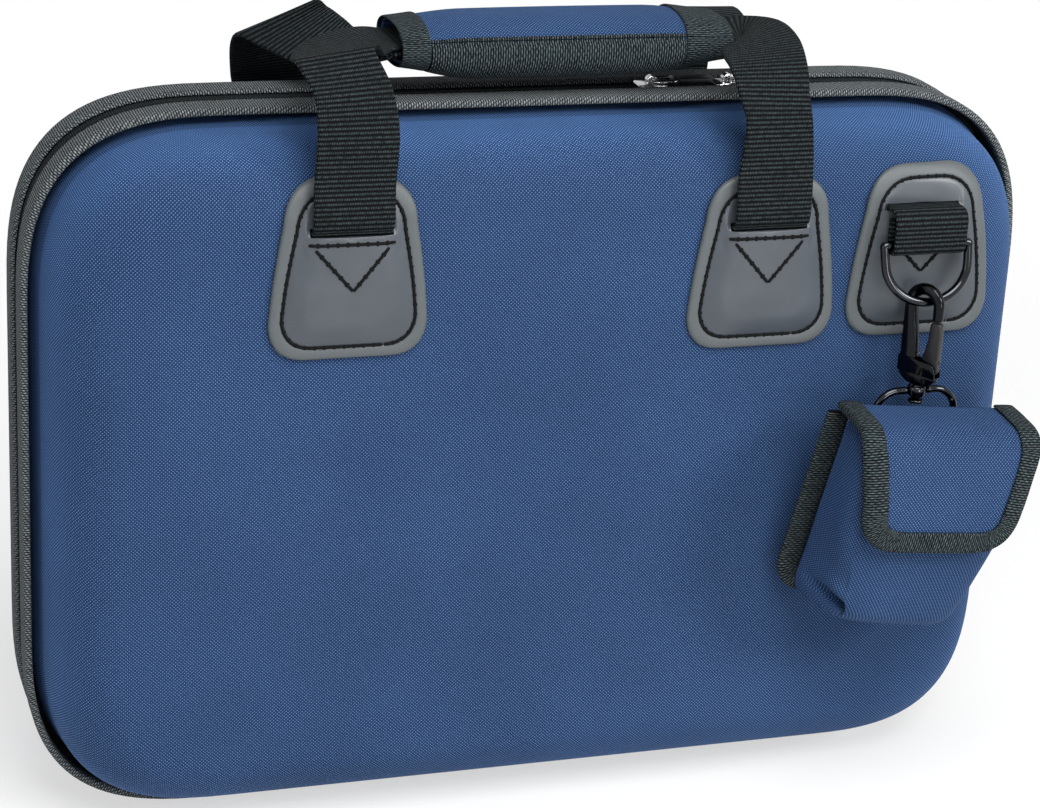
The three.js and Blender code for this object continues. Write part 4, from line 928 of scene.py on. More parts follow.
def make_patch(node, side, cx, lift, slot_x, hole, p):
    """A leather plate whose middle swells into a dome over the webbing's sewn end, as a
    smooth step up from the stitch line, with a low crown across the dome. It is carried round
    as rings from its outline in to the slot and back behind, and its top bends back with the
    case. The dome falls off above the slot and keeps a lip at the slot's two ends."""
    body = "lid" if side < 0 else "base"
    bottom, slot = PATCH_LOW + lift, SLOT_Z + lift
    low, high = slot + hole[0], slot + hole[1]
    centre = np.array([slot_x, (low + high) / 2])
    half_x, half_z = WEB / 2 + 0.25, (high - low) / 2
    edge = np.arctan2(half_z, half_x)
    fine = np.linspace(-0.35, 0.35, 41)
    rear = np.pi - np.r_[fine[fine > 0], edge]
    angles = np.r_[np.linspace(-np.pi, np.pi, 240, endpoint=False), edge, -edge, fine, rear, -rear]
    angles = np.unique(np.round(angles, 6))
    way = pair(np.cos(angles), np.sin(angles))
    near = np.min([half_x, half_z] / np.maximum(np.abs(way), 1e-6), axis=1)
    drawn = [0.0, 0.25, 0.9, 2.0, 3.0, 3.5, 3.8, 4.2, 4.5, 5.0, 5.8]
    reach = [polar(patch_loop(cx, bottom, d), centre, angles) for d in drawn]
    share = np.r_[np.linspace(0, 0.94, 34)[1:], 0.97, 0.985, 1.0]
    reach = np.stack(reach + [reach[-1] * (1 - t) + near * t for t in share])
    flat = centre + way[None] * reach[..., None]
    x, z = flat[..., 0], flat[..., 1]
    foot, top = (polar(patch_loop(cx, bottom, d), centre, angles) for d in (DOME_FROM, DOME_TO))
    inward = np.clip((foot - reach) / (foot - top), 0, 1)
    dx = np.abs(x - slot_x)
    lip = 1 - ease(WEB / 2 + 0.6, WEB / 2 + 5.5, dx)
    beside = ease(half_x + 0.1, half_x + 1.8, dx)
    behind = 1 - (1 - beside) * ease(low - 0.3, high, z)
    below = np.maximum(ease(-2, 8.5, low - z), lip * behind * (1 - ease(low - 1, high + 7, z)))
    dome = np.sin(inward * np.pi / 2) ** 1.1 * below
    back, front = PATCH_BACK, PATCH_BACK + PATCH_THICK
    crown = np.clip(1 - (dx / (WEB / 2)) ** 2, 0, 1) * np.clip(1 - ((z - low + 13) / 17) ** 2, 0, 1)
    y = front + PATCH_RAISE * dome + 0.35 * crown * ease(0.5, 1.0, dome)
    rolled_edge_and_groove = [-1.1, -0.3, -0.05, 0, 0, -0.12, -0.34, -0.34, -0.12, 0, 0]
    y[:len(drawn)] += np.array(rolled_edge_and_groove)[:, None]
    y[-1] -= 0.35
    y[-2] -= 0.08
    inside = (1 - ease(half_x, half_x + 1.6, dx)) * ease(slot - 22.0, slot - 20.6, z) * (z < low + 0.1)
    hidden = back + (np.minimum(PATCH_BACK + 2.15, y - 0.3) - back) * inside
    hidden[0] = back + 0.25
    fall = fall_back(x, z)
    front_rings = xyz(x, side * (y - fall), z)
    back_rings = xyz(x, side * (hidden - fall), z)[::-1]
    inset = np.r_[drawn, drawn[-1] + 20 * share]
    u = np.r_[inset, -inset[::-1], 0][:, None]
    v = np.r_[angles, angles[0] + TURN][None] * PATCH_WIDE / 2
    form = Form().tube(np.concatenate([front_rings, back_rings]), pair(u, v), closed=True)
    form.finish(f"{node}_leather", "leather", body, [node], "leather")

    def proud(line, off):
        """A flat line of places laid on the leather, by the nearest place of its rings."""
        spots = pair(x.ravel(), z.ravel())
        near_at = [int(np.argmin(((spots - q) ** 2).sum(1))) for q in line]
        high_at = (y - fall).ravel()[near_at]
        return xyz(line[:, 0], side * (high_at + off), line[:, 1])

    out = np.array([0, side, 0], float)
    seams = Form()
    loop = dense(patch_loop(cx, bottom, SEAM_IN), 1.0)
    base = front - 0.1 - fall_back(loop[:, 0], loop[:, 1])
    chain_stitch(seams, xyz(loop[:, 0], side * base, loop[:, 1]), out, p, True)
    under, wide = (2.5, 13.6) if hole == STRAP_HOLE else (5.6, 12.0)
    top = slot - under
    left, right, tip = (slot_x - wide, top), (slot_x + wide, top), (slot_x + 0.5, slot - 17.2)
    heads = (slot_x - wide + 2.2, top - 1.3), (slot_x + wide - 2.2, top - 1.3)
    for a, b in ((left, right), (heads[0], tip), (tip, heads[1])):
        line = smooth_spacing(np.array([a, b], float), 0.5)
        chain_stitch(seams, proud(line, 0.14), out, p)
    seams.finish(f"{node}_stitches", "thread", body, slot="leather")


# Webbing handles: at each station the inner edge's place and then the outer edge's

FRONT_LEFT = [
    (0.5, 1.115, 0.34, -0.5, 1.115, 0.34), (0.53, 1.1, 0.67, -0.47, 1.1, 0.67),
    (0.46, 1.02, 0.94, -0.5, 1.04, 0.91), (0.3, 0.88, 1.15, -0.66, 0.88, 1.08),
    (0.42, 0.76, 1.15, -0.62, 0.62, 1.05), (0.52, 0.62, 1.08, -0.4, 0.32, 1.06),
    (0.62, 0.46, 1.03, 0.04, 0.05, 1.08), (0.76, 0.35, 1.03, 0.52, -0.14, 1.07),
]
FRONT_RIGHT = [
    (0.5, 1.11, 0.34, -0.5, 1.11, 0.34), (0.43, 1.08, 0.66, -0.46, 1.08, 0.66),
    (0.52, 1.02, 0.85, -0.42, 1.03, 0.83), (0.56, 0.87, 0.98, -0.46, 0.88, 1.0),
    (0.52, 0.62, 1.02, -0.56, 0.55, 1.09), (0.37, 0.5, 1.02, -0.54, 0.18, 1.12),
    (0.04, 0.36, 1.01, -0.26, -0.16, 1.08),
]
REAR_LEFT = [
    (0.38, 1.1, 0.34, -0.62, 1.1, 0.34), (0.2, 0.92, 0.65, -0.78, 0.92, 0.61),
    (0.1, 0.4, 1.18, -0.82, 0.72, 0.9), (0.26, 0.39, 1.16, -0.56, 0.4, 0.89),
    (0.46, 0.37, 1.08, -0.26, 0.08, 0.87), (0.68, 0.34, 0.98, 0.34, -0.18, 0.9),
]
REAR_RIGHT = [
    (0.5, 1.11, 0.34, -0.5, 1.11, 0.34), (0.5, 1.04, 0.66, -0.5, 1.04, 0.66),
    (0.5, 0.88, 0.89, -0.5, 0.88, 0.89), (0.5, 0.65, 1.04, -0.5, 0.62, 1.04),
    (0.38, 0.49, 1.05, -0.48, 0.28, 1.0), (0.08, 0.36, 0.95, -0.26, -0.16, 0.93),
]


def leg(side, px, lift, towards, shares, run_z):
    """One handle end's stations, from the end sewn in its patch up to the wrap. Each is the
    places of the webbing's two edges. The shares are of its width, the case's half depth and
    the rise to the wrap."""
    slot = SLOT_Z + lift
    rise = WRAP_Z - slot
    sewn, clear = PATCH_BACK + WEB_THICK / 2 + GAP, RAISED_Y + WEB_THICK
    rows = []
    for y, z in ((sewn, slot - 19.7), (sewn, slot - WEB_THICK),
                 ((sewn + clear) / 2, slot + WEB_THICK), (clear, slot + 5)):
        rows.append([(px + way * towards * WEB / 2, side * y, z) for way in (1, -1)])
    for row in shares:
        rows.append([(px + towards * x * WEB, side * y * HALF_DEPTH, slot + z * rise)
                     for x, y, z in (row[:3], row[3:])])
    end = WRAP_X - towards * WRAP_LONG / 2
    for step in (0, 3.2):
        rows.append([(end + towards * step, way * side * WEB / 2, WRAP_Z + run_z) for way in (1, -1)])
    return rows


def make_straps():
    """The two webbing handles: ribbons between two Catmull-Rom edge curves."""
    for side, owner, body, fixed, left, right, run_z in (
        (-1, "front", "front_handle", "lid", FRONT_LEFT, FRONT_RIGHT, 1.1),
        (1, "rear", "rear_handle", "base", REAR_LEFT, REAR_RIGHT, -1.1),
    ):
        stations = leg(side, LEFT_X, LEFT_LIFT, 1, left, run_z)
        stations += leg(side, RIGHT_X, RIGHT_LIFT, -1, right, run_z)[::-1]
        edges = smooth_curve(np.array(stations, float), 10)
        form = strip(Form(), edges[:, 0], edges[:, 1], WEB_THICK)
        piece = form.finish(f"{owner}_webbing", "webbing", None, [f"{owner}_strap"], "webbing")
        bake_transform(piece)


# The wrap

HINGE_ANGLE, FRONT_ANGLE, FLAP_ANGLE = np.pi - 0.55, 0.3, 0.38
LEFT_BINDING, RIGHT_BINDING, HELD_Z = 9.0, 15.5, WRAP_Z + 1.5


def section_at(angle, grow):
    """A point of the wrap's squared round section at an angle up from the front."""
    y = -(WRAP_DEEP / 2 + grow) * soft(np.cos(angle), WRAP_POWER)
    z = WRAP_Z + (WRAP_TALL / 2 + grow) * soft(np.sin(angle), WRAP_POWER)
    return y, z


def wrap_panel(form, angles, x0, x1, inner, outer, ribs_along=False, puff=0.0):
    """A curved panel of the wrap. Its two faces meet in rounded edges, it may swell in the
    middle of its length as a half sine, and it is pinched flatter towards the wrap's ends."""
    angles = np.asarray(angles, float)
    inner, outer = (np.broadcast_to(g, angles.shape).astype(float) for g in (inner, outer))
    soft_edge = np.array([0.1, 0.35, 0.8])
    x = np.unique(np.r_[x0 + (x1 - x0) * np.linspace(0, 1, 30), x0 + soft_edge, x1 - soft_edge])
    arc_run = lengths(pair(*section_at(angles, 0)))
    ends = rolled(np.minimum(x - x0, x1 - x) / 0.8)[:, None]
    flat = 0.12 + 0.88 * ends * rolled(np.minimum(arc_run, arc_run[-1] - arc_run) / 0.8)[None]
    middle, half = (inner + outer) / 2, (outer - inner) / 2
    swell = puff * np.sin(np.pi * np.clip((x - x0) / (x1 - x0), 0, 1))[:, None] ** 0.6
    swell = swell * np.sin(np.pi * arc_run / arc_run[-1])[None] ** 0.5
    pinch = 1 - 0.36 * (1 - ease(-6, 24, WRAP_LONG / 2 - np.abs(x - WRAP_X)))[:, None]
    faces = []
    for grow in (middle + half * flat + swell, middle - half * flat):
        y, z = section_at(angles[None], grow)
        faces.append(xyz(x[:, None], y, HELD_Z + (z - HELD_Z) * pinch))
    u, v = (x - x0)[:, None], np.r_[arc_run, arc_run[::-1], arc_run[:1]][None]
    rings = np.concatenate([faces[0], faces[1][:, ::-1]], 1)
    return form.tube(rings, pair(v, u) if ribs_along else pair(u, v), caps="pairs")


def spread(start, end, step=0.05):
    """Angles from one to another, closer together at both ends."""
    fine = np.array([0, 0.006, 0.02, 0.045])
    middle = np.linspace(start + 0.06, end - 0.06, max(3, int((end - start) / step)))
    return np.r_[start + fine, middle, end - fine[::-1]]


def make_wrap(p):
    """The padded wrap: a panel under the webbing with a tongue at its front, a flap over the
    top, their ribbed bindings, the front one creased where it turns up, and the two strips
    that close them."""
    x0, x1 = WRAP_X - WRAP_LONG / 2, WRAP_X + WRAP_LONG / 2
    left, right = x0 + LEFT_BINDING, x1 - RIGHT_BINDING
    gap = 2 * GAP / WRAP_DEEP
    low, high = HINGE_ANGLE - TURN + gap, HINGE_ANGLE - gap
    under = spread(low, FRONT_ANGLE)
    angles = np.r_[under[:-1], FRONT_ANGLE, np.linspace(0.34, 1.1, 18)]
    tongue = ease(FRONT_ANGLE, 0.42, angles)
    panel = wrap_panel(Form(), angles, x0 + 1, x1 - 1, -3.2 - 1.6 * tongue, -1.2 - 2.9 * tongue)
    top = wrap_panel(Form(), spread(FLAP_ANGLE, high), x0 + 1, x1 - 1, -2.2, -1.2, puff=p.wrap_puff)
    for form, name, body, node in ((panel, "wrap_under", "rear_handle", "wrap_panel"),
                                   (top, "wrap_cover", "handle_flap", "wrap_flap")):
        form.finish(name, "cloth", body, [node], "cloth")
    lip = spread(-1.75, FRONT_ANGLE)
    crease = -0.95 * ease(0.1, 0.22, lip)
    edge = spread(FRONT_ANGLE + 0.02, FLAP_ANGLE + 0.05, 0.02)
    for name, body, ends, front, inner, outer, puff, nodes in (
        ("wrap_under", "rear_handle", under, lip, 0.7 * crease - 0.5, crease, 1.1, "wrap"),
        ("wrap_cover", "handle_flap", spread(FRONT_ANGLE + 0.02, high), edge, -1.1, -0.4, 0.0, "flap"),
    ):
        form = wrap_panel(Form(), ends, x0, left, -0.9, 0.0, True)
        wrap_panel(form, ends, right, x1, -0.9, 0.0, True)
        wrap_panel(form, front, left + GAP, right - GAP, inner, outer, puff=puff)
        form.finish(f"{name}_bindings", "piping", body,
                    [f"{nodes}_binding_{end}" for end in ("left", "right", "edge")], "webbing")
    for name, kind, body, node, level in (
        ("wrap_hook_strip", "plastic", "rear_handle", "wrap_fastener", -3.8),
        ("wrap_loop_strip", "plush", "handle_flap", "flap_fastener", -3.0),
    ):
        form = wrap_panel(Form(), spread(0.62, 1.02), left, right, level, level + 0.5)
        form.finish(name, kind, body, [node], kind)


# Rings, hook and swivel

def ring_line(cx, side, foot):
    """The D-ring's middle line: a straight bar above a round that leans towards its foot."""
    steps = 8
    half = (RING_IN + RING_WIRE) / 2
    a = np.arange(1, 14) / 14 * np.pi
    across = np.r_[0.96, 1, np.cos(a), -1, -0.96, -0.5, 0, 0.5]
    down = np.r_[0, 0.1, 0.22 + 0.78 * np.sin(a) ** 0.9, 0.1, 0, 0, 0, 0]
    line = xyz(cx + half * across, side * (BAR_Y + foot * down), BAR_Z - RING_DROP * down)
    curve = smooth_curve(np.concatenate([line[-3:], line, line[:3]]), steps)
    return curve[3 * steps:(3 + len(line)) * steps], unit(np.array([0, RING_DROP, side * foot]))


def make_rings():
    """Both D-rings, and the webbing folded over each bar into its patch."""
    reach, top, bend = 2.55, SLOT_Z + RING_LIFT + 3.95, 3.6
    near, far = BAR_Y - reach, BAR_Y + reach
    fold = np.concatenate([
        pair(np.linspace(PATCH_BACK + 0.35, far - bend - 0.6, 10), top),
        arc(np.pi / 2, 0, 7, bend, far - bend, top - bend),
        arc(0, -np.pi, 18, reach, BAR_Y, BAR_Z),
        [[near, SLOT_Z - 4], [near, top - 2.6]],
    ])
    spot, _ = resample(fold, 0.6)
    for side, owner, cx, foot, fixed in ((-1, "front", RING_X, FRONT_FOOT, "lid"),
                                         (1, "rear", REAR_RING_X, REAR_FOOT, "base")):
        line, normal = ring_line(cx, side, foot)
        form = Form().tube(flat_wire(line, normal, RING_WIRE / 2, sides=20), closed=True)
        form.finish(f"{owner}_wire_ring", "gunmetal", f"{owner}_d_ring", [f"{owner}_ring"], "gunmetal")
        a, b = (xyz(cx + way * WEB / 2, side * spot[:, 0], spot[:, 1]) for way in (-1, 1))
        form = strip(Form(), a, b, WEB_THICK)
        form.finish(f"{owner}_ring_webbing", "webbing", fixed, [f"{owner}_ring_loop"], "webbing")


ACROSS = np.array([np.cos(HOOK_YAW), -np.sin(HOOK_YAW), 0])
THROUGH = np.array([np.sin(HOOK_YAW), np.cos(HOOK_YAW), 0])
UP = np.array([0.0, 0.0, 1.0])
HOOK_AT = np.array([HOOK_X, FOOT_Y, FOOT_Z])


def in_hook(points):
    """From the hook's own plane, across and up, to the case's frame."""
    points = np.asarray(points, float)
    return HOOK_AT + points[:, :1] * ACROSS + points[:, 1:2] * UP


HOOK_HALF, HOOK_LOW = HOOK_WIDE / 2, HOOK_TOP - HOOK_LONG
BLOCK_TOP, GATE_TOP = HOOK_LOW + 8, HOOK_LOW + 22
HOOK_MIDDLE, BAR_RADIUS = HOOK_HALF - HOOK_BAR / 2, HOOK_BAR / 2


def make_hook():
    """The snap hook: a bar that thickens down its spine and ends in a slim nose, above a
    block with two cheeks that stand beside the gate's heel."""
    half, low, block = HOOK_HALF, HOOK_LOW, BLOCK_TOP
    bend = HOOK_TOP - half
    slimmest, spine_rows, nose_rows = 2.02, 23, 44
    spine = np.linspace(low + 2.5, bend, spine_rows + 1)[:-1]
    stout = slimmest + 1.1 * ease(bend + 2, block + 1, spine)
    nose = np.linspace(bend, GATE_TOP + 0.35, 11)[1:]
    path = in_hook(np.concatenate([
        pair(-half + stout, spine), arc(np.pi, 0, 34, HOOK_MIDDLE, 0, bend), pair(HOOK_MIDDLE, nose),
    ]))
    across = np.r_[stout, np.linspace(slimmest, 1.66, nose_rows)]
    thick = HOOK_THICK / 2
    through = np.r_[np.full(spine_rows, thick + 0.1), np.linspace(thick, 1.45, nose_rows)]
    run = lengths(path)
    swell = 0.15 + 0.85 * rolled((run[-1] - run) / 0.5)
    form = Form().tube(flat_wire(path, THROUGH, across * swell, through * swell, 26, False, 0.75))
    w = circle(48)[:, None]
    rings = []
    for rise, wide, deep in ((0, 0.5, 0.75), (0.35, 0.62, 0.95), (1.2, 0.78, 1.06), (2.4, 0.95, 1.1),
                             (3.4, 0.99, 1.1), (3.8, 0.93, 1.0)):
        around = wide * half * soft(np.cos(w), 0.5) * ACROSS
        around = around + deep * thick * soft(np.sin(w), 0.5) * THROUGH
        rings.append(HOOK_AT + around + (low + rise) * UP)
    form.tube(rings)
    cheek = [(-half + 0.1, -4.6), (half * 0.97, -4.6), (half, -3.6), (half - 0.15, -1.9),
             (half - 1.0, -0.5), (half - 2.4, 0.2), (1.0, 0.25), (-1.5, 0.6), (-half + 1, 1.5),
             (-half + 0.1, 0.5)]
    cheek = np.array(cheek) + [0, block]
    for side in (-1, 1):
        start, end = sorted((side * CHEEK_FROM, side * (thick + 0.12)))
        slab(form, cheek, (HOOK_AT, ACROSS, UP, THROUGH), start, end, 0.2)
    form.finish("hook_bar", "hook", "hook", ["hook_body"], "gunmetal")


def make_gate():
    """The hook's gate: a heel round its pin and a lever that flares towards its foot, then
    the pin, and the leaf spring behind the gate."""
    r = BAR_RADIUS
    pin = np.array([HOOK_MIDDLE, BLOCK_TOP - r + GAP])
    head = GATE_TOP - pin[1]
    at = in_hook([pin])[0]
    plane = (at, ACROSS, UP, THROUGH)
    heel = np.concatenate([arc(np.pi, TURN, 14, r), [[r, 3.2], [-r, 3.2]]])
    front = smooth_curve([(r, 2.2), (r, 5), (r, 9), (r - 0.03, 12.5), (r - 0.25, head - 0.4)], 5)
    back = smooth_curve([
        (-r + 0.2, head - 0.5), (-r - 0.05, 12), (-r - 0.35, 9), (-r - 1.1, 6), (-r - 1.7, 3.9),
        (-r - 1.5, 2.7), (-r - 0.4, 2.1)], 5)
    lever = np.concatenate([front, [(r - 0.9, head), (-r + 0.9, head)], back])
    form = slab(Form(), heel, plane, -HOOK_THICK / 4, HOOK_THICK / 4, 0.3)
    slab(form, lever, plane, -LEVER_HALF, LEVER_HALF, 0.3)
    form.finish("hook_lever", "lever", "gate", ["hook_gate"], "plastic")
    w = circle(16)[:, None]
    rings = [at + radius * (np.cos(w) * ACROSS + np.sin(w) * UP) + level * THROUGH
             for level, radius in ((-1.84, 0.45), (-1.78, 0.62), (1.78, 0.62), (1.84, 0.45))]
    Form().tube(rings).finish("hook_pin", "gunmetal", "hook", ["gate_pin"], "gunmetal")
    inside = HOOK_HALF - HOOK_BAR
    heel_u, push = -inside + GAP, inside - 2 * GAP
    leaf = in_hook(smooth_curve([[heel_u + 0.25, BLOCK_TOP], [heel_u + 0.8, BLOCK_TOP + 1.2],
                                 [push - 0.8, BLOCK_TOP + 3.8], [push - 0.25, BLOCK_TOP + 4.6]], 5))
    rings = flat_wire(leaf, THROUGH, 0.2, 0.42, 12, False, 0.5)
    Form().tube(rings).finish("hook_leaf", "nickel", "hook", ["gate_spring"], "nickel")


def make_swivel():
    """The rivet under the hook, and the wide wire loop that turns on it by its hub."""
    stem = [(0.05, 0), (1.3, 0), (1.5, -0.25), (1.5, -4.9), (2.2, -4.9), (2.5, -5.1), (2.5, -5.7),
            (2.2, -6.05), (1.2, -6.12), (0.05, -6.14)]
    lathe(Form(), np.array(stem) + [0, STEM_Z], HOOK_X, FOOT_Y).finish(
        "swivel_pin", "gunmetal", "hook", ["swivel_rivet"], "gunmetal")
    half, turn = 13.9, np.pi / 2
    corners = ((1, 7.5, HUB_Z - 7.5), (-1, 7.5, HUB_Z - 7.5), (-1, 3, LOOP_Z + 3), (1, 3, LOOP_Z + 3))
    loop = dense(np.concatenate([
        arc(k * turn, (k + 1) * turn, 14, r, HOOK_X + way * (half - r), z)
        for k, (way, r, z) in enumerate(corners)
    ]), 1.5)
    loop = loop[~((np.abs(loop[:, 0] - HOOK_X) < 2.4) & (loop[:, 1] > HUB_Z - 1))]
    line = xyz(loop[:, 0], FOOT_Y, loop[:, 1])
    opening = np.argmax(np.linalg.norm(np.roll(line, -1, 0) - line, axis=1))
    line = np.roll(line, -(opening + 1), 0)
    form = Form().tube(flat_wire(line, np.array([0, 1.0, 0]), 1.2, closed=False))
    hub = [(1.85, -1.35), (2.1, -1.6), (2.7, -1.6), (3.0, -1.3), (3.0, 1.3), (2.7, 1.6), (2.1, 1.6),
           (1.85, 1.35)]
    lathe(form, np.array(hub) + [0, HUB_Z], HOOK_X, FOOT_Y, closed=True)
    form.finish("swivel_frame", "gunmetal", "swivel", ["swivel_loop"], "gunmetal")


# The pouch

def turned(a, b, angle):
    """Two coordinates turned by an angle, from the first's axis towards the second's."""
    return a * np.cos(angle) - b * np.sin(angle), a * np.sin(angle) + b * np.cos(angle)


def hang(points, askew=True):
    """From the pouch's own frame, across, out and up from its bar, to the case's frame. What
    hangs askew is rolled in its plane, and its upper part is sheared a little straighter."""
    x, y, z = points[..., 0], -points[..., 1], points[..., 2]
    if askew:
        z = z + POUCH_SKEW * x * ease(-58, -26, z)
        z, x = turned(z, x, POUCH_ROLL)
    y, z = turned(y, z, POUCH_LEAN)
    return xyz(HOOK_X + x, FOOT_Y + y, LOOP_Z + z)


POUCH_ROWS = np.array([
    [0, 0.96, 0.9, 0.66], [0.08, 0.98, 0.95, 0.82], [0.25, 1, 0.98, 0.93], [0.5, 1.02, 0.93, 1],
    [0.75, 1.03, 0.8, 0.99], [0.93, 1.05, 0.7, 0.94], [1, 1, 0.66, 0.84],
])


def pouch_rings(rows, inset, p):
    """The pouch's rings down its height. Each is a squared oval whose half width goes from
    back to front. A pleat is tucked in round the lower left as a bell-shaped dip below a
    shallow swelling, and a low ridge runs down the left front corner."""
    w = circle(128)
    su, sd = soft(np.cos(w), 2 / 4.5), soft(np.sin(w), 2 / 4.5)
    out = (1 + sd) / 2
    share, back, front, deep = (rows[:, k:k + 1] for k in range(4))
    half = POUCH_HALF * (back + (front - back) * out) - inset
    depth = POUCH_BACK + inset + (POUCH_DEEP * deep - 2 * inset) * out
    along = np.clip((1.02 * np.pi - w) / (0.27 * np.pi), 0, 1)
    reach = np.sin(np.pi * along) ** 0.7
    line = 0.875 + 0.065 * along
    tuck = p.pouch_pleat * reach * np.exp(-((share - line) / 0.03) ** 2)
    lip = 0.22 * p.pouch_pleat * reach * np.exp(-((share - line + 0.085) / 0.05) ** 2)
    corner = 0.9 * ease(0.3, 0.9, share) * np.exp(-((w - 0.76 * np.pi) / 0.06) ** 2)
    u = (half - tuck + lip + corner) * su
    depth = depth - (tuck - lip) * 0.75 * sd.clip(0)
    return xyz(u, depth, POUCH_TOP - POUCH_TALL * share)


def flap_line():
    """The flap's bent middle line as depth and height, with its outward direction."""
    rows = [(POUCH_BACK, POUCH_TOP + GAP), (POUCH_BACK + 9, POUCH_TOP + 1.0),
            (POUCH_BACK + 18.48, POUCH_TOP + 0.6)]
    for deep, fall, gap in ((0.82, 5.28, 1.98), (0.93, 16.5, 2.9), (0.99, 26.0, 2.9), (1.0, 33.4, 2.8)):
        rows.append((POUCH_BACK + POUCH_DEEP * deep + gap, POUCH_TOP - fall))
    line = smooth_curve(rows, 12)
    along = unit(np.gradient(line, axis=0))
    return line, pair(-along[:, 1], along[:, 0])


FLAP_LINE, FLAP_OUT = flap_line()
FLAP_RUN = lengths(FLAP_LINE)
FLAP_HALF, FLAP_TAPER, FLAP_BEND = 31.0, 3.5, 24.0
FLAP_CORNER, FLAP_FINE = 15.0, 13.0


def on_flap(across, down, off):
    """A point over the flap: how far across, how far down its bent line, and how far off it.
    Its sides curl back as the fourth power of the share across."""
    depth, high, out, up = (
        np.interp(down, FLAP_RUN, row) for row in (*FLAP_LINE.T, *FLAP_OUT.T))
    curl = 2.6 * (across / 30) ** 4 * ease(16, 34, down)
    return hang(xyz(across, depth + out * off - curl, high + up * off))


def down_flap(coarse, fine):
    """Distances down the flap, closer together where its lower corners turn in."""
    start = FLAP_RUN[-1] - FLAP_FINE
    near = FLAP_RUN[-1] - FLAP_FINE * (1 - np.sin(np.linspace(0, np.pi / 2, fine)))
    return np.unique(np.r_[np.linspace(0, start, coarse), near])


def flap_half(down):
    """Half the flap's width at a distance down it, with its lower corners rounded."""
    end = FLAP_RUN[-1]
    tapered = np.clip((down - FLAP_BEND) / (end - FLAP_FINE - FLAP_BEND), 0, 1)
    low = np.clip((down - end + FLAP_CORNER) / FLAP_CORNER, 0, 1)
    return FLAP_HALF - FLAP_TAPER * tapered - FLAP_CORNER * (1 - np.sqrt(1 - low)) ** 2


def make_pouch(p):
    """The pouch's body and its back binding, which runs down both sides and under its foot."""
    rows = smooth_curve(POUCH_ROWS, 14)
    lining = 1.6
    outer, inner = pouch_rings(rows, 0, p), pouch_rings(rows, lining, p)
    inner[-1, :, 2] += lining
    foot = outer[-1]
    middle = foot.mean(0)
    under = [middle + (foot - middle) * s + [0, 0, -d] for s, d in ((0.5, 1.0), (0.88, 0.9), (0.97, 0.5))]
    body = Form().tube(hang(np.concatenate([np.stack(under), outer[::-1], inner]))).finish(
        "pouch_cloth", "cloth", "pouch", ["pouch_body"], "cloth")
    half, low, corner = 29.6, -56.4, 8.0
    left = np.concatenate([
        pair(-half, np.linspace(8.4, low + corner, 30)[:-1]),
        arc(np.pi, 1.5 * np.pi, 12, corner, -(half - corner), low + corner),
    ])
    foot = pair(np.linspace(-(half - corner), half - corner, 24)[1:-1], low)
    line = np.concatenate([left, foot, left[::-1] * [-1, 1]])
    rings = flat_wire(xyz(line[:, 0], 2.0, line[:, 1]), np.array([0, 1.0, 0]), 3.9, 1.0, 20, False, 0.6)
    Form().tube(hang(rings)).finish(
        "pouch_back_binding", "piping", "pouch", ["pouch_edge"], "webbing")


def make_flap():
    """The pouch's flap as a thin slab down its bent line, and the binding round its edge."""
    down = down_flap(40, 16)
    grid = flap_half(down)[:, None] * np.linspace(-1, 1, 33)
    faces = [on_flap(grid, down[:, None], off) for off in (1.45, 0.05)]
    rings = np.concatenate([faces[0], faces[1][:, ::-1]], 1)
    v = np.concatenate([grid, grid[:, ::-1], grid[:, :1]], 1)
    Form().tube(rings, pair(down[:, None], v), caps="pairs").finish(
        "pouch_flap_cloth", "cloth", "pouch_lid", ["pouch_flap"], "cloth")
    down = down_flap(60, 20)
    edge = pair(-flap_half(down), down)
    foot = pair(np.linspace(edge[-1, 0], -edge[-1, 0], 22)[1:-1], FLAP_RUN[-1])
    edge = smooth_spacing(np.concatenate([edge, foot, edge[::-1] * [-1, 1]]), 1.2)
    along = unit(np.gradient(edge, axis=0))
    inward = pair(along[:, 1], -along[:, 0])
    section = np.array([
        (7, 1.8), (7, 2.3), (6.6, 2.55), (5.8, 2.6), (3, 2.7), (1, 2.6), (0.1, 2.4), (-0.4, 1.9),
        (-0.6, 1.0), (-0.45, 0.1), (0.2, -0.4), (2.4, -0.5), (2.4, -0.1), (0.4, -0.05), (0, 0.4),
        (-0.05, 1.2), (0.4, 1.75), (3, 1.8),
    ])
    flat = edge[:, None] + inward[:, None] * section[None, :, :1]
    rings = on_flap(flat[..., 0], np.clip(flat[..., 1], 0, FLAP_RUN[-1] + 0.6), section[None, :, 1])
    uv = pair(lengths(edge)[:, None], lengths(looped(section))[None])
    Form().tube(rings, uv).finish(
        "pouch_flap_edge", "piping", "pouch_lid", ["pouch_flap_binding"], "webbing")


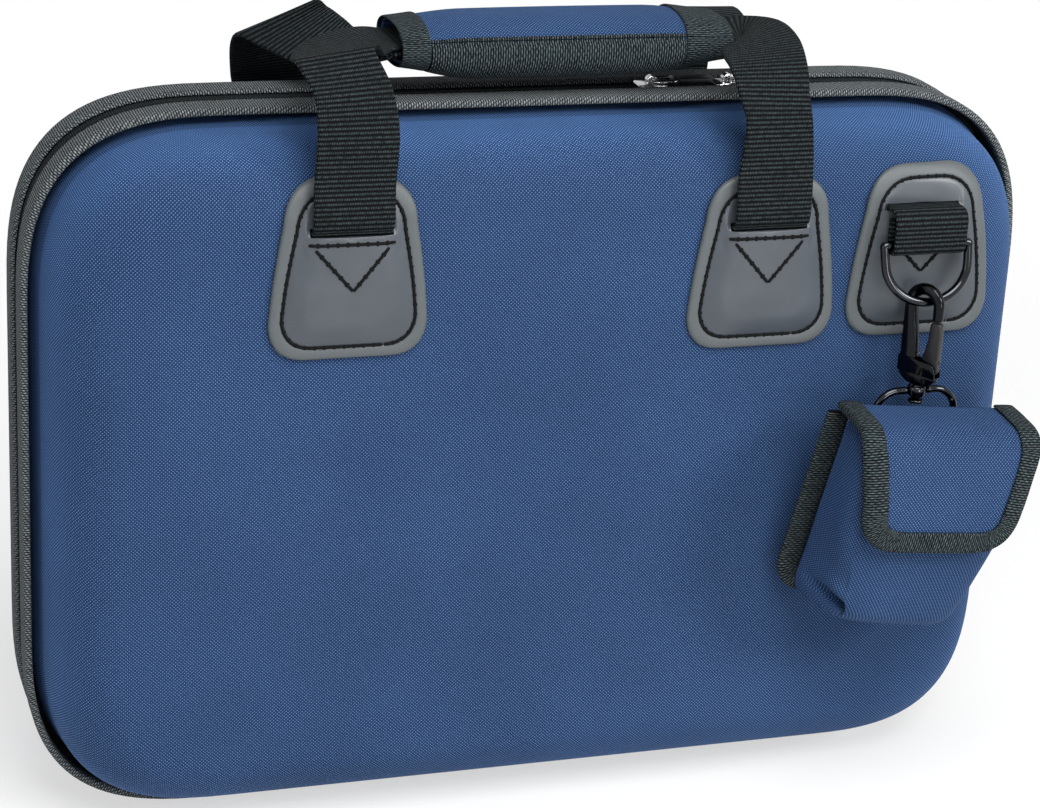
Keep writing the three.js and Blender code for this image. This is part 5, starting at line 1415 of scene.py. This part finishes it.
def make_pouch_fittings():
    """The folded tab that hangs the pouch, and the two halves of its closing strip."""
    fold, tab_half = 2.25, 10.5
    drop = np.linspace(-17.6, -0.4, 12)
    path = np.concatenate([pair(fold, drop), arc(0, np.pi, 20, fold), pair(-fold, drop[::-1])])
    a, b = (hang(xyz(x, path[:, 0], path[:, 1]), False) for x in (-tab_half, tab_half))
    strip(Form(), a, b, WEB_THICK).finish(
        "pouch_hanger", "webbing", "pouch", ["pouch_tab"], "webbing")
    face, half = POUCH_BACK + POUCH_DEEP + GAP, 11
    outline = rounded(half, 2.5, 1.0, 0, POUCH_TOP - FLAP_DROP + 3.7)
    for name, node, body, start, kind in (
        ("pouch_hook_strip", "pouch_fastener", "pouch", face, "plastic"),
        ("pouch_loop_strip", "pouch_flap_fastener", "pouch_lid", face + 0.95, "plush"),
    ):
        rings = [xyz(outline[:, 0] * (1 - drawn / half), start + depth, outline[:, 1])
                 for depth, drawn in ((0, 0.15), (0.15, 0), (0.5, 0), (0.65, 0.15))]
        Form().tube(hang(np.stack(rings))).finish(name, kind, body, [node], kind)


# Zip sliders

def make_slider(owner):
    """A zip slider: two waisted plates on a post, a bridge, its wire loop and its pull."""
    x, top_z = SLIDER_X[owner], MID_Z + HEIGHT / 2
    high = top_z + 2.5
    wire_z = high + 0.85
    flat = ((x, 0, 0), *np.eye(3))
    plate = dense(rounded(5, 3.8, 1.8), 0.6)
    plate[:, 1] *= 1 - 0.12 * np.cos(plate[:, 0] / 5 * np.pi)
    form = slab(Form(), plate, flat, high - 1.1, high, 0.3)
    slab(form, dense(rounded(5, 2.9, 1.2), 0.6), flat, top_z - 2.8, top_z - 1.7, 0.25)
    slab(form, rounded(0.9, 0.45, 0.3), flat, top_z - 2.5, high - 0.3, 0.1)
    left, right = x - 1.3, x + 1.3
    path = smooth_spacing(np.concatenate([
        [[left, high - 0.3], [left, high + 0.4]],
        arc(np.pi, 0, 14, 1.3, x, wire_z),
        [[right, high + 0.4], [right, high - 0.3]],
    ]), 0.25)
    a, b = (xyz(path[:, 0], y, path[:, 1]) for y in (-1.1, 1.1))
    strip(form, a, b, 0.8)
    form.finish(f"{owner}_slider_body", "nickel", f"slider_{owner}", [f"{owner}_slider"], "nickel")
    body = f"pull_{owner}"
    loop = dense(rounded(4, 3, 1.4, x + 4, 0), 0.5)
    rings = flat_wire(xyz(loop[:, 0], loop[:, 1], wire_z), UP, 0.55, sides=14)
    Form().tube(rings, closed=True).finish(
        f"{owner}_wire_loop", "nickel", body, [f"{owner}_pull_loop"], "nickel")
    end, w = x + 8, circle(20)
    rings = [
        xyz(end + radius * np.cos(w), y, wire_z + radius * np.sin(w))
        for radius, y in ((0.86, -1.8), (1.1, -2.0), (1.2, -1.8), (1.2, 1.8), (1.1, 2.0), (0.86, 1.8))
    ]
    form = Form().tube(rings, closed=True)
    s = np.linspace(0, 1, 30)
    half = 1.9 + 0.7 * ease(0, 0.35, s) - 1.2 * ease(0.86, 1.0, s)
    side = pair(end + 1.1 + 11.8 * s, half)
    outline = np.concatenate([side * [1, -1], side[::-1]])
    slab(form, outline, ((0, 0, 0), *np.eye(3)), wire_z - 0.7, wire_z + 0.7, 0.3)
    form.finish(f"{owner}_pull_grip", "plastic", body, [f"{owner}_pull_tab"], "plastic")


# The stage

CAMERA_TURN, CAMERA_RISE, CAMERA_ROLL = np.radians([-18.44, 20.95, 3.125])
CAMERA_FAR, CAMERA_AIM = 910.1, np.array([-1.31, -3.7, 127.84])
FLOOR_HALF, FLOOR_DROP, LAMP_AIM = 8.0, 0.0004, (0, 0, 0.12)
PHOTO_WIDE, FOCAL_PIXELS, SENSOR = 1040, 2769, 36.0


def placed(name, data):
    """An object for some data, linked into the scene."""
    made = bpy.data.objects.new(name, data)
    bpy.context.scene.collection.objects.link(made)
    return made


def make_world(p):
    """Light from all round, which the camera and reflections see as a pale grey."""
    world = bpy.data.worlds.new("studio")
    bpy.context.scene.world = world
    sky = Nodes(world)
    ground = sky.node("ShaderNodeBackground", {}, (0.93, 0.96, 1.0), p.ambient)
    pale = sky.node("ShaderNodeBackground", {}, (0.8, 0.8, 0.8), 1.0)
    sky.end("World Output", sky.seen(), ground, pale)


def make_floor(p):
    """A pale floor that fades to white away from the case."""
    f = Finish("pale floor", Base_Color=(0.84, 0.84, 0.84, 1), Roughness=0.9, Specular_IOR_Level=0.1)
    glow = f.node("ShaderNodeEmission", {}, Strength=1.0)
    apart = f.node("ShaderNodeVectorMath", {"operation": "LENGTH"}, f.place(), output="Value")
    fade = apart.ease(0.16, 0.75) * (1 - p.shadow) + p.shadow_veil
    f.end("Material Output", fade * f.seen(), Value(f, f.shader.outputs[0]), glow)
    mesh = bpy.data.meshes.new("floor")
    corners = ((-1, -1), (1, -1), (1, 1), (-1, 1))
    points = [(x * FLOOR_HALF, y * FLOOR_HALF, -FLOOR_DROP) for x, y in corners]
    mesh.from_pydata(points, [], [(0, 1, 2, 3)])
    mesh.materials.append(f.material)
    return placed("floor", mesh)


def make_lamps(p):
    """Four round lamps: above, at the right, in front and at the left."""
    lamps = []
    for name, spot, size, power in (
        ("top lamp", (0.0, -0.95, 1.5), 1.1, p.top_light),
        ("key lamp", (1.25, -1.25, 1.0), 0.55, p.key_light),
        ("front lamp", (0.5, -1.7, 0.25), 0.5, p.front_light),
        ("side lamp", (-1.6, -0.6, 0.7), 1.0, p.side_light),
    ):
        light = bpy.data.lights.new(name, "AREA")
        light.shape, light.size, light.energy = "DISK", size, power
        aim = Vector(LAMP_AIM) - Vector(spot)
        lamp = placed(name, light)
        lamp.matrix_world = Matrix.Translation(spot) @ aim.to_track_quat("-Z", "Y").to_matrix().to_4x4()
        lamps.append(lamp)
    return lamps


def make_camera():
    """The photograph's camera, solved from the case's outline in it."""
    back = np.array([np.sin(CAMERA_TURN) * np.cos(CAMERA_RISE),
                     -np.cos(CAMERA_TURN) * np.cos(CAMERA_RISE), np.sin(CAMERA_RISE)])
    right = unit(np.cross(-back, [0, 0, 1]))
    up = np.cross(right, -back)
    c, s = np.cos(CAMERA_ROLL), np.sin(CAMERA_ROLL)
    right, up = right * c + up * s, up * c - right * s
    eye = (CAMERA_AIM + back * CAMERA_FAR) * MM
    lens = bpy.data.cameras.new("camera")
    lens.sensor_width = SENSOR
    lens.lens = FOCAL_PIXELS / PHOTO_WIDE * SENSOR
    camera = placed("camera", lens)
    turned_to = np.eye(4)
    turned_to[:3] = np.stack([right, up, back, eye], -1)
    camera.matrix_world = Matrix(turned_to.tolist())
    bpy.context.scene.camera = camera


def make_stage(p):
    """The light from all round, the floor, the lamps and the camera."""
    make_world(p)
    make_floor(p)
    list(make_lamps(p))
    make_camera()
    bpy.context.scene.view_settings.view_transform = "Standard"


class CaseSizes(bpy.types.PropertyGroup):
    """Sizes and light that a user would change."""

    stitch_length: number_field("Stitch", "Length of a patch's stitch in millimetres", 2.65, 1, 6)
    stitch_gap: number_field("Stitch gap", "Millimetres between a patch's stitches", 0.4, 0.2, 4)
    bead_length: number_field(
        "Edge stitch", "Length of a stitch beside the zip in millimetres", 1.5, 0.5, 4)
    bead_gap: number_field(
        "Edge stitch gap", "Millimetres between the stitches beside the zip", 0.9, 0.2, 4)
    wrap_puff: number_field("Wrap swell", "How far the wrap's cloth swells in millimetres", 0.7, 0, 2)
    pouch_pleat: number_field("Pouch pleat", "Depth of the tucked pleat in millimetres", 6.0, 0, 9)
    ambient: number_field("Room light", "Strength of the light from all round", 0.32, 0, 2)
    top_light: number_field("Top lamp", "Power of the lamp above, in watts", 29.0, 0, 200)
    front_light: number_field("Front lamp", "Power of the lamp in front, in watts", 6.5, 0, 200)
    key_light: number_field("Key lamp", "Power of the lamp at the right, in watts", 18.5, 0, 200)
    side_light: number_field("Side lamp", "Power of the lamp at the left, in watts", 2.5, 0, 200)
    shadow: number_field(
        "Shadow", "Share of the floor's shade that shows near the case", 0.6, 0, 1, "FACTOR")
    shadow_veil: number_field(
        "Shadow veil", "Share of white laid over the floor's shade", 0.6, 0, 1, "FACTOR")


# The add-on

class CASE_OT_finishes(bpy.types.Operator):
    """Make the cloth, webbing, leather, metal and thread materials"""

    bl_idname = "case.finishes"
    bl_label = "Materials"

    def execute(self, context):
        make_finishes(context.scene.case_finishes)
        return {"FINISHED"}


class CASE_OT_shells(bpy.types.Operator):
    """Make the two cloth shells, the lid's lining and the tray's finish"""

    bl_idname = "case.shells"
    bl_label = "Shells and tray"

    def execute(self, context):
        make_shells()
        make_tray()
        return {"FINISHED"}


class CASE_OT_edges(bpy.types.Operator):
    """Make the bound edges, the zip and the hinge strip"""

    bl_idname = "case.edges"
    bl_label = "Bound edges and zip"

    def execute(self, context):
        make_bindings(context.scene.case_sizes)
        make_zip()
        return {"FINISHED"}


class CASE_OT_patches(bpy.types.Operator):
    """Make the six stitched leather patches"""

    bl_idname = "case.patches"
    bl_label = "Stitched patches"

    def execute(self, context):
        p = context.scene.case_sizes
        for side, owner, patch_x, slot_x in ((-1, "front", RING_PATCH_X, RING_X),
                                             (1, "rear", REAR_RING_X, REAR_RING_X)):
            make_patch(f"{owner}_patch_left", side, LEFT_X, LEFT_LIFT, LEFT_X, STRAP_HOLE, p)
            make_patch(f"{owner}_patch_right", side, RIGHT_X, RIGHT_LIFT, RIGHT_X, STRAP_HOLE, p)
            make_patch(f"{owner}_ring_patch", side, patch_x, RING_LIFT, slot_x, RING_HOLE, p)
        return {"FINISHED"}


class CASE_OT_handles(bpy.types.Operator):
    """Make the webbing handles and the padded wrap"""

    bl_idname = "case.handles"
    bl_label = "Handles and wrap"

    def execute(self, context):
        make_straps()
        make_wrap(context.scene.case_sizes)
        return {"FINISHED"}


class CASE_OT_hardware(bpy.types.Operator):
    """Make the D-rings, the snap hook, its swivel and the zip sliders"""

    bl_idname = "case.hardware"
    bl_label = "Metalwork"

    def execute(self, context):
        make_rings()
        make_hook()
        make_gate()
        make_swivel()
        make_slider("left")
        make_slider("right")
        return {"FINISHED"}


class CASE_OT_pouch(bpy.types.Operator):
    """Make the hanging pouch and its flap"""

    bl_idname = "case.pouch"
    bl_label = "Pouch"

    def execute(self, context):
        make_pouch(context.scene.case_sizes)
        make_flap()
        make_pouch_fittings()
        return {"FINISHED"}


class CASE_OT_stage(bpy.types.Operator):
    """Make the floor, lamps and camera"""

    bl_idname = "case.stage"
    bl_label = "Stage"

    def execute(self, context):
        make_stage(context.scene.case_sizes)
        return {"FINISHED"}


OPERATORS = (CASE_OT_finishes, CASE_OT_shells, CASE_OT_edges, CASE_OT_patches, CASE_OT_handles,
             CASE_OT_hardware, CASE_OT_pouch, CASE_OT_stage)


class CASE_PT_panel(bpy.types.Panel):
    """Lists the case's settings and its pieces"""

    bl_label = "Soft clarinet case"
    bl_space_type = "VIEW_3D"
    bl_region_type = "UI"
    bl_category = "Case"

    def draw(self, context):
        column = self.layout.column()
        for group in (context.scene.case_finishes, context.scene.case_sizes):
            for name in group.bl_rna.properties.keys():
                if name not in {"rna_type", "name"}:
                    column.prop(group, name)
        for operator in OPERATORS:
            column.operator(operator.bl_idname)


CLASSES = (CaseFinishes, CaseSizes, *OPERATORS, CASE_PT_panel)


def register():
    for item in CLASSES:
        bpy.utils.register_class(item)
    bpy.types.Scene.case_finishes = bpy.props.PointerProperty(type=CaseFinishes)
    bpy.types.Scene.case_sizes = bpy.props.PointerProperty(type=CaseSizes)


def unregister():
    del bpy.types.Scene.case_sizes
    del bpy.types.Scene.case_finishes
    for item in reversed(CLASSES):
        bpy.utils.unregister_class(item)


def main():
    """Makes every piece in order."""
    register()
    for call in (bpy.ops.case.finishes, bpy.ops.case.shells, bpy.ops.case.edges, bpy.ops.case.patches,
                 bpy.ops.case.handles, bpy.ops.case.hardware, bpy.ops.case.pouch, bpy.ops.case.stage):
        call()


if __name__ == "__main__":
    main()
